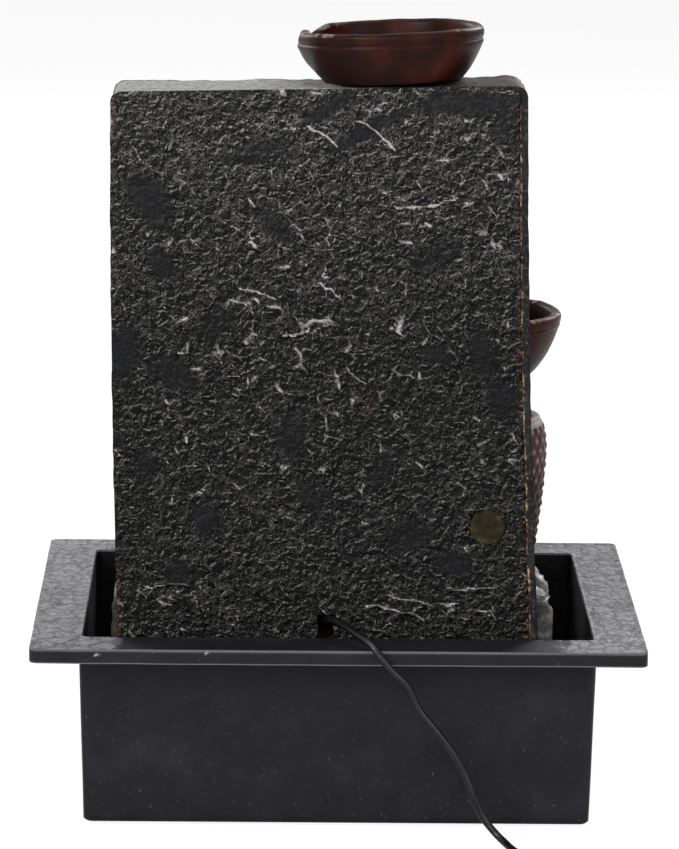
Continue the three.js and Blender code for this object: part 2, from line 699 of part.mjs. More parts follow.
const stickerX = rightFoot + 31.7;
const stickerZ = RIM_HEIGHT + 55.7;
const stickerBack = towerBack + GAP;
const sticker = bar(
  8.4, [stickerX, stickerBack, stickerZ], [stickerX, stickerBack + 0.5, stickerZ], 24);
part('round_sticker', sticker, '#4a4520', 0.4);

// ---- lead: inside the tower, through the notch, over the flange to the table, and wound up ----

const leadStart = capStart + 0.5;
const leadRoute = [
  [leadStart, pumpY, axisZ], [44, 65.2, axisZ], [52, 65.6, 29.5], [57.5, 66.2, 38], [57, 67, 50],
  [50, 68, 62], [38, 69, 73], [26, 70, 84], [17, 71.5, 93.5], [11.5, 74.5, 99.5], [8.2, 78, 102],
  [6.7, 81.2, 102.6],
];
const cordRoute = [
  [6.6, 81.5, 102.6], [4.2, 88.1, 105.1], [-2.4, 97.5, 104.6], [-8.9, 106, 102.2], [-15.4, 112.4, 99],
  [-19.7, 116, 94.2], [-25.3, 117, 87.3], [-33.1, 116, 79.4], [-38.6, 115.6, 68.1], [-47.7, 116, 56.6],
  [-55.7, 115.9, 45.5], [-61.6, 115.9, 34.9], [-65.8, 116.8, 24], [-70.1, 116.1, 14.8], [-76.3, 118.2, 7],
  [-81.7, 124.1, 3], [-84.8, 130.9, 1.9], [-87.8, 137.6, 1.8], [-90.4, 148, 1.8], [-91.3, 160, 1.8],
  [-91.4, 172, 1.8], [-91.4, 184, 1.8],
];

function route(points) {
  return new THREE.CatmullRomCurve3(points.map((point) => new THREE.Vector3(...point)), false, 'centripetal');
}

part('pump_lead', tube(route(leadRoute), CORD_RADIUS, CORD_SIDES, 22), '#0c0c0d', 0.35);

function freeCord() {
  const cord = solid(tube(route(cordRoute), CORD_RADIUS, CORD_SIDES, 40));
  const table = block([-RIM_WIDTH, 0, -10], [RIM_WIDTH, RIM_DEPTH, 0]);
  const lead = block(
    [ARCH_CENTRE - 6, towerBack - 12, 90], [ARCH_CENTRE + 6, towerBack - BACK_PANEL + 1, 110]);
  return cut(cord, table, lead);
}

part('power_cord', freeCord(), '#0c0c0d', 0.35);

const tieCentre = [COIL_CENTRE[0] - COIL_RADIUS, COIL_CENTRE[1]];
const bandOuter = COIL_HALF_BAND + 2 * GAP;

function coil() {
  const inner = COIL_RADIUS - COIL_HALF_BAND;
  const outer = COIL_RADIUS + COIL_HALF_BAND;
  const profile = [
    [inner, 2], [inner + 2, 0], [outer - 2, 0], [outer, 2],
    [outer, COIL_HEIGHT - 2], [outer - 2, COIL_HEIGHT],
    [inner + 2, COIL_HEIGHT], [inner, COIL_HEIGHT - 2], [inner, 2],
  ];
  const groove = block(
    [tieCentre[0] - bandOuter - 2, tieCentre[1] - TIE_WIDTH / 2 - GAP, -1],
    [tieCentre[0] + bandOuter + 2, tieCentre[1] + TIE_WIDTH / 2 + GAP, 1.1]);
  return cut(turned(profile, 32).translate([...COIL_CENTRE, 0]), groove);
}

function coilTie() {
  const low = [tieCentre[0] - bandOuter, tieCentre[1] - TIE_WIDTH / 2, 0.8];
  const high = [tieCentre[0] + bandOuter, tieCentre[1] + TIE_WIDTH / 2, COIL_HEIGHT + GAP];
  const outer = block([low[0] - 0.8, low[1], 0.05], [high[0] + 0.8, high[1], high[2] + 0.8]);
  return cut(outer, block([low[0], low[1] - 1, low[2]], [high[0], high[1] + 1, high[2]]));
}

part('cord_coil', coil(), '#0c0c0d', 0.35);
part('coil_tie', coilTie(), '#151515', 0.8);

const plugY = COIL_CENTRE[1] + COIL_RADIUS + 2 * CORD_RADIUS;
const plugZ = PLUG_RADIUS + 0.2;
const reliefStart = COIL_CENTRE[0] - 15.2;
const plugStart = reliefStart - PLUG_RELIEF;
const plugEnd = plugStart - PLUG_LENGTH;

function plugBody() {
  const relief = bar(
    CORD_RADIUS + 0.6, [reliefStart, plugY, plugZ], [plugStart + 0.5, plugY, plugZ], 16, PLUG_RADIUS - 1);
  const body = bar(PLUG_RADIUS, [plugStart + 0.5, plugY, plugZ], [plugEnd, plugY, plugZ], 16);
  return joined(relief, body);
}

function plugBarrel() {
  const start = plugEnd - GAP;
  const sleeve = bar(BARREL_RADIUS, [start, plugY, plugZ], [start - BARREL_LENGTH, plugY, plugZ], 16);
  const bore = bar(
    BARREL_BORE, [start - 1, plugY, plugZ], [start - BARREL_LENGTH - 1, plugY, plugZ], 10);
  return cut(sleeve, bore);
}

part('plug_body', plugBody(), '#0e0e0f', 0.45);
part('plug_barrel', plugBarrel(), '#b8bcc0', 0.25, 0.9);

export default fountain;
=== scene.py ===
# Tabletop water fountain: a cast rock-wall tower with four bowls and an urn, standing in a flanged basin.
# Metres, +Z up, the bowls face -Y and the wrinkled rear panel faces +Y.

import math

import bmesh
import bpy
from mathutils import Euler, Matrix, Vector, noise


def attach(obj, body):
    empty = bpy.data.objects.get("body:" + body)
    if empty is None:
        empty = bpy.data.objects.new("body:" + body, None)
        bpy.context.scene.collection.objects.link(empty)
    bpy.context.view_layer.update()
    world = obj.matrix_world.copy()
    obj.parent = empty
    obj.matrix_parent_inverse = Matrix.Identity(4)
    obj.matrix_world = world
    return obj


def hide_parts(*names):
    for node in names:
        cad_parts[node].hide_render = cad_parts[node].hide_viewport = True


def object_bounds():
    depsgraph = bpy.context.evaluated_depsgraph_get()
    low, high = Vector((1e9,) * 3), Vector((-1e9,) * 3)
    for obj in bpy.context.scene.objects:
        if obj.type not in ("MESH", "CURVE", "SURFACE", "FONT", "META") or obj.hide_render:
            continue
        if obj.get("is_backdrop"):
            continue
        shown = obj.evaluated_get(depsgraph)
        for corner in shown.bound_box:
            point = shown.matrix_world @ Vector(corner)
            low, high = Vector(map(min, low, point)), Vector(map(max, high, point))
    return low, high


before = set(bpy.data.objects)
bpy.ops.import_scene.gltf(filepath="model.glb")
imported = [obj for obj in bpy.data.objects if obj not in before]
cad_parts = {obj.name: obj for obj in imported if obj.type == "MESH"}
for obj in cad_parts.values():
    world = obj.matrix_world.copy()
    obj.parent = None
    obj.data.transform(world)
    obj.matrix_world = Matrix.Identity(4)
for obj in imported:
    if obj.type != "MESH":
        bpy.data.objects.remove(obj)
cad_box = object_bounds()

# ---- Camera ----
# A long studio lens stands behind the tower and a little above it. It looks slightly down at the rear
# panel, with a small roll.

MM = 0.001
CAMERA_PLACE = (0.0346154, 2.24, 0.66685)
LOOK_DOWN, HEADING, ROLL = 12.1733, 179.0954, 0.6587  # degrees
scene = bpy.context.scene
camera_data = bpy.data.cameras.new("camera")
camera_data.sensor_width = 36
camera_data.lens = 192.91
camera = bpy.data.objects.new("camera", camera_data)
scene.collection.objects.link(camera)
scene.camera = camera
aim = Euler((math.radians(90 - LOOK_DOWN), 0, math.radians(HEADING))).to_matrix()
camera.location = CAMERA_PLACE
camera.rotation_euler = (aim @ Matrix.Rotation(math.radians(ROLL), 3, "Z")).to_euler()

# ---- Power lead ----
# The pump's round two-core lead, extruded glossy black PVC. It leaves through the notch in the rear panel,
# drops over the flange to the table, and the rest of it is wound into a coil of three by three turns.

CORD_RADIUS = 1.8
COIL_CENTRE = (-115, 198)
COIL_TURNS = 8.25
POINTS_PER_TURN = 16
# The lead from the notch to the coil, in millimetres.
lead_route = [
    (6.6, 81.5, 102.6), (4.2, 88.1, 105.1), (-2.4, 97.5, 104.6), (-8.9, 106, 102.2), (-15.4, 112.4, 99),
    (-19.7, 116, 94.2), (-25.3, 117, 87.3), (-33.1, 116, 79.4), (-38.6, 115.6, 68.1), (-47.7, 116, 56.6),
    (-55.7, 115.9, 45.5), (-61.6, 115.9, 34.9), (-65.8, 116.8, 24), (-70.1, 116.1, 14.8), (-76.3, 118.2, 7),
    (-81.7, 124.1, 3), (-84.8, 130.9, 1.9), (-87.8, 137.6, 1.8), (-90.4, 148, 1.8), (-91.3, 160, 1.9),
    (-91.4, 172, 2.0), (-91.4, 184, 2.15),
]
# Radius and height of each turn: three turns beside each other in each of three layers.
coil_layers = [
    (23.6, 2.2), (20, 2.2), (16.4, 2.2), (16.4, 5.8), (16.4, 9.4), (20, 9.4), (20, 5.8), (23.6, 9.4),
    (23.6, 5.8),
]


def smooth(low, high, value):
    """0 below low, 1 above high, and an even curve between them."""
    t = min(max((value - low) / (high - low), 0.0), 1.0)
    return t * t * (3 - 2 * t)


def coil_points(turns):
    """Points of the wound turns; in its last two fifths each turn moves to the next place."""
    for step in range(int(turns * POINTS_PER_TURN) + 1):
        turn, part = divmod(step / POINTS_PER_TURN, 1)
        here = coil_layers[int(turn)]
        following = coil_layers[min(int(turn) + 1, len(coil_layers) - 1)]
        move = smooth(0.6, 1.0, part)
        radius, height = (a + (b - a) * move for a, b in zip(here, following))
        angle = 2 * math.pi * part
        yield (COIL_CENTRE[0] + radius * math.cos(angle), COIL_CENTRE[1] + radius * math.sin(angle), height)


plug_entry = [(-121, 221.6, 5.6), (-126, 221.6, 5.2), (-132, 221.6, 5.0)]
lead_points = lead_route + list(coil_points(COIL_TURNS)) + plug_entry


def linear(code):
    """An sRGB hex colour as linear red, green, blue and alpha."""
    channels = [int(code[i:i + 2], 16) / 255 for i in (1, 3, 5)]
    return [c / 12.92 if c <= 0.04045 else ((c + 0.055) / 1.055) ** 2.4 for c in channels] + [1.0]


def new_material(name, **constants):
    """A material whose Principled shader has these values on its own sockets."""
    material = bpy.data.materials.new(name)
    material.use_nodes = True
    shader = material.node_tree.nodes["Principled BSDF"]
    for socket, value in constants.items():
        shader.inputs[socket.replace("_", " ")].default_value = value
    return material, material.node_tree, shader


def add_node(tree, kind, inputs=None, stops=None, **settings):
    """Adds a node. An input is a value or a socket to link; stops are a ramp's places and colours."""
    node = tree.nodes.new("ShaderNode" + kind)
    for name, value in settings.items():
        setattr(node, name, value)
    for name, value in (inputs or {}).items():
        if isinstance(value, bpy.types.NodeSocket):
            tree.links.new(value, node.inputs[name])
        else:
            node.inputs[name].default_value = value
    if stops:
        marks = node.color_ramp.elements
        marks.remove(marks[1])
        for i, (place, colour) in enumerate(stops):
            mark = marks[0] if i == 0 else marks.new(place)
            mark.position = place
            mark.color = linear(colour) if isinstance(colour, str) else (colour, colour, colour, 1)
    return node


def link_shader(tree, shader, **links):
    """Links sockets to the shader's inputs of these names."""
    for name, socket in links.items():
        tree.links.new(socket, shader.inputs[name.replace("_", " ")])


def make_piece(name, data, material, body, replaces=(), sharp=None):
    """Makes a piece of a bmesh in millimetres, or of a curve in metres, and fixes it to a body."""
    if isinstance(data, bmesh.types.BMesh):
        bmesh.ops.scale(data, vec=(MM, MM, MM), verts=data.verts)
        mesh = bpy.data.meshes.new(name)
        data.to_mesh(mesh)
        data.free()
        mesh.shade_smooth()
        if sharp is not None:
            mesh.set_sharp_from_angle(angle=math.radians(sharp))
        data = mesh
    data.materials.append(material)
    piece = bpy.data.objects.new(name, data)
    scene.collection.objects.link(piece)
    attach(piece, body)
    if replaces:
        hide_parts(*replaces)
    return piece


# Soft PVC is smooth and fairly glossy, with a faint haze of dust in its blacks.
cord_vinyl, tree, shader = new_material(
    "extruded_black_pvc", Roughness=0.34, Specular_IOR_Level=0.22, Coat_Weight=0.08, Coat_Roughness=0.15)
where = add_node(tree, "TexCoord").outputs["Object"]
haze = add_node(tree, "TexNoise", {"Vector": where, "Scale": 90.0, "Detail": 4.0})
tone = add_node(tree, "ValToRGB", {"Fac": haze.outputs["Fac"]}, [(0.3, "#060607"), (0.75, "#0e0e10")])
ripple = add_node(tree, "TexNoise", {"Vector": where, "Scale": 260.0, "Detail": 2.0})
surface = add_node(tree, "Bump", {"Height": ripple.outputs["Fac"], "Strength": 0.15, "Distance": 0.0004})
link_shader(tree, shader, Base_Color=tone.outputs["Color"], Normal=surface.outputs["Normal"])

lead_curve = bpy.data.curves.new("power_lead", "CURVE")
lead_curve.dimensions = "3D"
lead_curve.bevel_depth = CORD_RADIUS * MM
lead_curve.bevel_resolution = 4
lead_curve.resolution_u = 5
lead_curve.use_fill_caps = True
spline = lead_curve.splines.new("BEZIER")
spline.bezier_points.add(len(lead_points) - 1)
for knot, point in zip(spline.bezier_points, lead_points):
    knot.co = Vector(point) * MM
    knot.handle_left_type = knot.handle_right_type = "AUTO"
power_lead = make_piece(
    "power_lead", lead_curve, cord_vinyl, "fountain_base", ["power_cord", "cord_coil"])

# ---- Lead tie ----
# A strip of black hook-and-loop tape, woven of nylon and cut to length. It is wrapped round the wound
# turns and pressed shut, and holds them together.

TIE_WIDTH = 6
TIE_OPENING = (12.3, 11.9)
TIE_MIDDLE = 5.95  # the coil's middle height


def extruded(bm, edges):
    """Extrudes an open line of edges; returns the new line and its vertices."""
    made = bmesh.ops.extrude_edge_only(bm, edges=edges)["geom"]
    verts = [v for v in made if isinstance(v, bmesh.types.BMVert)]
    new = set(verts)
    line = [e for e in made if isinstance(e, bmesh.types.BMEdge) and new.issuperset(e.verts)]
    return line, verts


# The tape's loops catch no shine; they are drawn at 0.6 mm, coarser than real ones, so that they show.
tape, tree, shader = new_material(
    "woven_nylon_tape", Roughness=0.9, Sheen_Weight=0.3, Specular_IOR_Level=0.3)
where = add_node(tree, "TexCoord").outputs["Object"]
loops = add_node(tree, "TexVoronoi", {"Vector": where, "Scale": 1600.0})
tone = add_node(tree, "ValToRGB", {"Fac": loops.outputs["Distance"]}, [(0.0, "#26262a"), (0.8, "#0c0c0e")])
surface = add_node(tree, "Bump", {"Height": loops.outputs["Distance"], "Strength": 0.5, "Distance": 0.0003})
link_shader(tree, shader, Base_Color=tone.outputs["Color"], Normal=surface.outputs["Normal"])

bm = bmesh.new()
bmesh.ops.create_grid(bm, x_segments=1, y_segments=1, size=0.5)
bmesh.ops.scale(bm, vec=(*TIE_OPENING, 1), verts=bm.verts)
bmesh.ops.bevel(
    bm, geom=bm.verts[:], offset=4.2, segments=6, profile=0.5, affect="VERTICES", material=-1,
    offset_type="OFFSET")
bmesh.ops.delete(bm, geom=bm.faces[:], context="FACES_ONLY")
rim_verts = extruded(bm, bm.edges[:])[1]
bmesh.ops.translate(bm, vec=(0, 0, TIE_WIDTH), verts=rim_verts)
bmesh.ops.recalc_face_normals(bm, faces=bm.faces)
upright = Matrix.Rotation(math.radians(90), 3, "X")
bmesh.ops.rotate(bm, cent=(0, 0, TIE_WIDTH / 2), matrix=upright, verts=bm.verts)
tie_place = (COIL_CENTRE[0] - coil_layers[1][0], COIL_CENTRE[1], TIE_MIDDLE - TIE_WIDTH / 2)
bmesh.ops.translate(bm, vec=tie_place, verts=bm.verts)
lead_tie = make_piece("lead_tie", bm, tape, "fountain_base", ["coil_tie"])
band = lead_tie.modifiers.new("thickness", "SOLIDIFY")
band.thickness = 0.4 * MM
band.offset = -1

# ---- Lead plug ----
# A round low-voltage plug on the end of the lead. Its black PVC grip, with ribs and a tapered sleeve, is
# moulded onto the lead, and its barrel is brass plated with nickel.

PLUG_AXIS = (221.6, 5.0)


def turned(profile, steps, centre=(0, 0, 0), axis="Z"):
    """Spins a profile of (radius, height) about an axis, in millimetres."""
    bm = bmesh.new()
    points = [bm.verts.new((radius, 0, height)) for radius, height in profile]
    edges = [bm.edges.new(pair) for pair in zip(points, points[1:])]
    bmesh.ops.spin(
        bm, geom=points + edges, cent=(0, 0, 0), axis=(0, 0, 1), angle=2 * math.pi, steps=steps,
        use_merge=True)
    bmesh.ops.remove_doubles(bm, verts=bm.verts, dist=1e-4)
    bmesh.ops.recalc_face_normals(bm, faces=bm.faces)
    if axis == "X":
        bmesh.ops.rotate(
            bm, cent=(0, 0, 0), matrix=Matrix.Rotation(math.radians(-90), 3, "Y"), verts=bm.verts)
    bmesh.ops.translate(bm, vec=centre, verts=bm.verts)
    return bm


# The grip is duller than the lead, with the fine grain of a blasted mould.
moulded_vinyl, tree, shader = new_material("moulded_black_pvc", Roughness=0.42, Specular_IOR_Level=0.5)
where = add_node(tree, "TexCoord").outputs["Object"]
grain = add_node(tree, "TexNoise", {"Vector": where, "Scale": 900.0, "Detail": 3.0})
tone = add_node(tree, "ValToRGB", {"Fac": grain.outputs["Fac"]}, [(0.3, "#0e0e10"), (0.7, "#1b1b1e")])
surface = add_node(tree, "Bump", {"Height": grain.outputs["Fac"], "Strength": 0.3, "Distance": 0.0003})
link_shader(tree, shader, Base_Color=tone.outputs["Color"], Normal=surface.outputs["Normal"])

grip = [(0, 0), (2.5, 0), (2.9, 4), (2.5, 4.4), (3.2, 8.4), (2.8, 8.8), (3.7, 12.6), (4.5, 13.4), (4.8, 14.2)]
for rib in range(5):
    start = 15.4 + rib * 2.2
    grip += [(4.8, start), (4.35, start + 0.4), (4.35, start + 1.2), (4.8, start + 1.6)]
grip += [(4.8, 28.8), (4.4, 29.6), (0, 29.8)]
# The profile's heights run towards -X once it is turned.
plug = turned(grip, 40, (-130.4, *PLUG_AXIS), "X")
make_piece("plug_grip", plug, moulded_vinyl, "fountain_base", ["plug_body"], sharp=40)

# The barrel is bright, and a little dulled where it has been pushed into its socket.
plated_brass, tree, shader = new_material("nickel_plated_brass", Metallic=1.0, Roughness=0.22)
where = add_node(tree, "TexCoord").outputs["Object"]
wear = add_node(tree, "TexNoise", {"Vector": where, "Scale": 700.0, "Detail": 3.0})
tone = add_node(tree, "ValToRGB", {"Fac": wear.outputs["Fac"]}, [(0.3, "#b7b6b0"), (0.7, "#dcdad3")])
link_shader(tree, shader, Base_Color=tone.outputs["Color"])
barrel = [(1.3, 0), (2.5, 0), (2.75, 0.4), (2.75, 8.9), (2.55, 9.4), (1.5, 9.4), (1.3, 9.1), (1.3, 0)]
make_piece(
    "plug_sleeve", turned(barrel, 36, (-160.4, *PLUG_AXIS), "X"), plated_brass, "fountain_base",
    ["plug_barrel"], sharp=40)

# ---- Basin ----
# One moulded trough of satin black resin. Its wide flange is cast with a split-stone face and brushed
# grey, and a smooth lip turns down around it.

RIM_HEIGHT = 96
OPENING = (250, 178, 3)
RIM = (300, 225, 4)
FLOOR_TOP = 4.0
BASIN_BOTTOM = 1.5
DRAFT = 2.2
FLANGE_UNDER = RIM_HEIGHT - 3.5
LIP_UNDER = RIM_HEIGHT - 7.7
FLANGE_FACE = RIM_HEIGHT - 0.1


def reshape(verts, old, new, height=None):
    """Moves vertices from one rounded rectangle (width, depth, corner) to another, and to a height."""
    for vert in verts:
        for axis in (0, 1):
            core = old[axis] / 2 - old[2]
            new_core = new[axis] / 2 - new[2]
            side = 1 if vert.co[axis] > 0 else -1
            reach = abs(vert.co[axis])
            if reach > core:
                vert.co[axis] = side * (new_core + (reach - core) * new[2] / old[2])
            else:
                vert.co[axis] *= new_core / core
        if height is not None:
            vert.co.z = height


def grown(bm, edges, old, new, height, rings=1):
    """Extrudes an open edge loop to a new outline and height in even rings; returns its new edges."""
    start = edges[0].verts[0].co.z
    for ring in range(1, rings + 1):
        edges, verts = extruded(bm, edges)
        share = ring / rings
        middle = tuple(a + (b - a) * share for a, b in zip(old, new))
        last = tuple(a + (b - a) * (ring - 1) / rings for a, b in zip(old, new))
        reshape(verts, last, middle, start + (height - start) * share)
    return edges


def rectangle_loop(bm, outline, height, spacing):
    """A rounded rectangle of edges with a vertex every few millimetres along its straight sides."""
    width, depth, corner = outline
    bmesh.ops.create_grid(bm, x_segments=1, y_segments=1, size=0.5)
    bmesh.ops.scale(bm, vec=(width, depth, 1), verts=bm.verts)
    bmesh.ops.bevel(
        bm, geom=bm.verts[:], offset=corner, segments=8, profile=0.5, affect="VERTICES", material=-1,
        offset_type="OFFSET")
    bmesh.ops.delete(bm, geom=bm.faces[:], context="FACES_ONLY")
    for length in (width - 2 * corner, depth - 2 * corner):
        sides = [e for e in bm.edges if abs(e.calc_length() - length) < 1]
        bmesh.ops.subdivide_edges(bm, edges=sides, cuts=int(length / spacing))
    bmesh.ops.translate(bm, vec=(0, 0, height), verts=bm.verts)
    return bm.edges[:]


def to_border(point, size):
    """How far a point is from the border of its cell, for cells of a size."""
    (first, second, _, _), (a, b, _, _) = noise.voronoi(point / size)
    return size * (second * second - first * first) / (2 * max((b - a).length, 1e-6))


# The noise that bends patterns draws its offsets from a seed, so that each run gives the same shapes.
NOISE_SEED = 7
noise.seed_set(NOISE_SEED)


def split_stone(point):
    """Height of the cast stone face in millimetres: low pillows parted by shallow dips."""
    bent = point + noise.noise_vector(point / 6) * 2.8
    large = to_border(bent, 9.5) + 1.4 * smooth(0.2, -0.2, noise.noise(point / 9 + Vector((7, 3, 1))))
    small = to_border(bent + Vector((30, 0, 0)), 4.6) + 0.9 * smooth(0.3, -0.1, noise.noise(point / 6))
    border = min(large, 0.35 + small * 1.3)
    pillow = noise.noise(point / 14) * 0.3 + noise.noise(point / 3.1) * 0.2
    return pillow - 0.4 * (1 - smooth(0.2, 1.3, border))


def narrowed(outline, inset, corner):
    """An outline drawn in all round, with a new corner."""
    return (outline[0] - 2 * inset, outline[1] - 2 * inset, corner)


wall_top = narrowed(OPENING, -2, 5)
wall_foot = narrowed(wall_top, DRAFT, 5)
foot_edge = narrowed(wall_foot, 1.2, 3.8)
rim_edge = narrowed(RIM, 0.3, 3.7)
floor_edge = narrowed(OPENING, DRAFT, 3)
# The section from the foot, up the outside, over the lip and the flange, and down inside to the floor:
# outline, height, rings. The closely spaced rings hold the edges crisp.
basin_section = [
    (wall_foot, BASIN_BOTTOM + 1.0, 2), (wall_top, FLANGE_UNDER, 30),
    (narrowed(RIM, 3, 1.5), FLANGE_UNDER, 3), (narrowed(RIM, 2.5, 2), LIP_UNDER + 0.5, 2),
    (rim_edge, LIP_UNDER, 2), (RIM, LIP_UNDER + 0.45, 1), (RIM, LIP_UNDER + 0.8, 1),
    (RIM, FLANGE_FACE - 0.6, 5), (RIM, FLANGE_FACE - 0.35, 1),
    (rim_edge, FLANGE_FACE, 2), (narrowed(RIM, 0.7, 3.3), FLANGE_FACE, 1),
    (narrowed(OPENING, -0.5, 3.5), FLANGE_FACE, 19), (OPENING, FLANGE_FACE - 0.8, 2),
    (OPENING, FLANGE_FACE - 1.2, 1), (floor_edge, FLOOR_TOP + 1.5, 24),
    (narrowed(floor_edge, 1.5, 1.5), FLOOR_TOP, 3),
]
bm = bmesh.new()
loop = rectangle_loop(bm, foot_edge, BASIN_BOTTOM, 1.3)
bmesh.ops.edgenet_fill(bm, edges=loop)
last_outline = foot_edge
for outline, height, rings in basin_section:
    loop = grown(bm, loop, last_outline, outline, height, rings)
    last_outline = outline
bmesh.ops.edgenet_fill(bm, edges=loop)
bmesh.ops.recalc_face_normals(bm, faces=bm.faces)
worn = bm.verts.layers.float.new("worn")
inside_layer = bm.verts.layers.float.new("inside")
edge_highlight_layer = bm.verts.layers.float.new("edge")
chips = [(117, 92.6), (64, 94.4)]  # x and z of the pale chips in the rear lip
for vert in bm.verts:
    x, y, z = vert.co
    flat = Vector((x, y, 0))
    half_gap = 1.1 - DRAFT * (RIM_HEIGHT - z) / RIM_HEIGHT
    within = abs(x) < OPENING[0] / 2 + half_gap and abs(y) < OPENING[1] / 2 + half_gap
    vert[inside_layer] = 1.0 if within and 3 < z < RIM_HEIGHT - 1.2 else 0.0
    if z > RIM_HEIGHT - 0.3:
        vert[edge_highlight_layer] = 0.0
        border = min(RIM[0] / 2 - abs(x), RIM[1] / 2 - abs(y))
        inside = max(abs(x) - OPENING[0] / 2, abs(y) - OPENING[1] / 2)
        face = smooth(0.6, 3.2, border) * smooth(0.4, 1.8, inside)
        ends = max(smooth(104, 118, abs(x) + 6 * noise.noise(flat / 12)), smooth(60, 20, y))
        if y > 80:
            ends = smooth(104, 116, abs(x) + 6 * noise.noise(flat / 9))
        vert[worn] = ends
        vert.co.z += split_stone(flat) * face * (0.25 + 0.75 * ends) - 0.25 * face
    elif RIM_HEIGHT - 8 < z:
        # A pale line along the lip's upper and lower edges is a painted highlight.
        upper_edge = smooth(RIM_HEIGHT - 1.2, RIM_HEIGHT - 0.6, z)
        vert[edge_highlight_layer] = max(upper_edge, smooth(RIM_HEIGHT - 7.0, RIM_HEIGHT - 7.3, z))
        chipped = min(math.hypot(x - cx, z - cz) for cx, cz in chips) if y > 100 else 9
        vert[worn] = max(vert[worn], 1 - smooth(0.6, 1.3, chipped))
        vert.co.z += 0.18 * noise.noise(flat / 26)
        vert.co.xy += Vector(noise.noise_vector(vert.co / 11).xy) * 0.12
    elif z > BASIN_BOTTOM + 2:
        outward = Vector((x / 127, y / 91, 0)).normalized()
        vert.co += outward * (0.22 * noise.noise(vert.co / 40) + 0.05 * noise.noise(vert.co / 6))

# Satin black resin with a cast skin gives a soft sheen, fine pores and pale, rubbed chips, and a pale line is
# painted along the lip's upper and lower edges as a highlight. The flange is brushed grey, except in the
# middle of its rear side, and a net of dark cracks about 9 and 4 mm apart parts the grey like split stone. The
# inside is painted nearly black as shade.
basin_resin, tree, shader = new_material("cast_satin_black_resin", Specular_IOR_Level=0.12)
where = add_node(tree, "TexCoord").outputs["Object"]
worn_here = add_node(tree, "Attribute", attribute_name="worn").outputs["Fac"]
cast_marks = add_node(tree, "TexNoise", {"Vector": where, "Scale": 42.0, "Detail": 6.0, "Roughness": 0.62})
fine = add_node(tree, "TexNoise", {"Vector": where, "Scale": 420.0, "Detail": 5.0, "Roughness": 0.7})
black = add_node(
    tree, "ValToRGB", {"Fac": cast_marks.outputs["Fac"]}, [(0.25, "#111114"), (0.55, "#17171b"),
    (0.8, "#212125")])
grey = add_node(
    tree, "ValToRGB", {"Fac": fine.outputs["Fac"]}, [(0.28, "#3d3d40"), (0.45, "#68686b"),
    (0.7, "#8b8b8e")])
chipped = add_node(tree, "Math", {0: worn_here, 1: fine.outputs["Fac"]}, operation="ADD")
cover = add_node(tree, "MapRange", {"Value": chipped.outputs[0], "From Min": 0.62, "From Max": 1.12})
bend = add_node(tree, "TexNoise", {"Vector": where, "Scale": 130.0, "Detail": 3.0, "Roughness": 0.6})
bent = add_node(
    tree, "Mix", {0: 0.011, 6: where, 7: bend.outputs["Color"]}, data_type="RGBA", blend_type="ADD")
wide_net = add_node(
    tree, "TexVoronoi", {"Vector": bent.outputs[2], "Scale": 105.0}, feature="DISTANCE_TO_EDGE")
small_net = add_node(
    tree, "TexVoronoi", {"Vector": bent.outputs[2], "Scale": 240.0}, feature="DISTANCE_TO_EDGE")
patches = add_node(tree, "TexNoise", {"Vector": where, "Scale": 70.0, "Detail": 2.0})
broken = add_node(
    tree, "MapRange", {"Value": patches.outputs["Fac"], "From Min": 0.42, "From Max": 0.58, "To Max": 0.3})
small_off = add_node(
    tree, "Math", {0: small_net.outputs["Distance"], 1: broken.outputs["Result"]}, operation="ADD")
crack = add_node(
    tree, "Math", {0: wide_net.outputs["Distance"], 1: small_off.outputs[0]}, operation="MINIMUM")
ink = add_node(
    tree, "MapRange", {"Value": crack.outputs[0], "From Min": 0.01, "From Max": 0.12, "To Min": 0.42,
    "To Max": 1.0})
inked = add_node(
    tree, "Mix", {0: 1.0, 6: grey.outputs["Color"], 7: ink.outputs["Result"]}, data_type="RGBA",
    blend_type="MULTIPLY")
colour = add_node(
    tree, "Mix", {0: cover.outputs["Result"], 6: black.outputs["Color"], 7: inked.outputs[2]},
    data_type="RGBA")
# The pale line painted along the lip's edges is a highlight.
edge_highlight_here = add_node(tree, "Attribute", attribute_name="edge").outputs["Fac"]
colour = add_node(
    tree, "Mix", {0: edge_highlight_here, 6: colour.outputs[2], 7: linear("#5a5a5e")}, data_type="RGBA")
# The inside of the trough is painted nearly black as shade.
inside_here = add_node(tree, "Attribute", attribute_name="inside").outputs["Fac"]
inside_shade = add_node(tree, "MapRange", {"Value": inside_here, "To Max": 0.85})
colour = add_node(
    tree, "Mix", {0: inside_shade.outputs["Result"], 6: colour.outputs[2], 7: linear("#020203")}, data_type="RGBA")
gloss = add_node(
    tree, "MapRange", {"Value": cast_marks.outputs["Fac"], "From Min": 0.3, "From Max": 0.7, "To Min": 0.42,
                       "To Max": 0.58})
specks = add_node(tree, "TexVoronoi", {"Vector": where, "Scale": 150.0})
pits = add_node(tree, "MapRange", {"Value": specks.outputs["Distance"], "From Max": 0.3})
height = add_node(tree, "Math", {0: fine.outputs["Fac"], 1: pits.outputs["Result"]}, operation="ADD")
surface = add_node(tree, "Bump", {"Height": height.outputs[0], "Strength": 0.22, "Distance": 0.0006})
groove = add_node(
    tree, "Math", {0: ink.outputs["Result"], 1: cover.outputs["Result"]}, operation="MULTIPLY")
surface = add_node(
    tree, "Bump", {"Height": groove.outputs[0], "Strength": 0.8, "Distance": 0.0006,
                   "Normal": surface.outputs["Normal"]})
link_shader(
    tree, shader, Base_Color=colour.outputs[2], Roughness=gloss.outputs["Result"],
    Normal=surface.outputs["Normal"])
make_piece("moulded_basin", bm, basin_resin, "fountain_base", ["basin"], sharp=50)

# ---- Foot pads ----
# Four discs of moulded black rubber, each with a pressed ring. They are glued into the corners of the
# basin's underside.

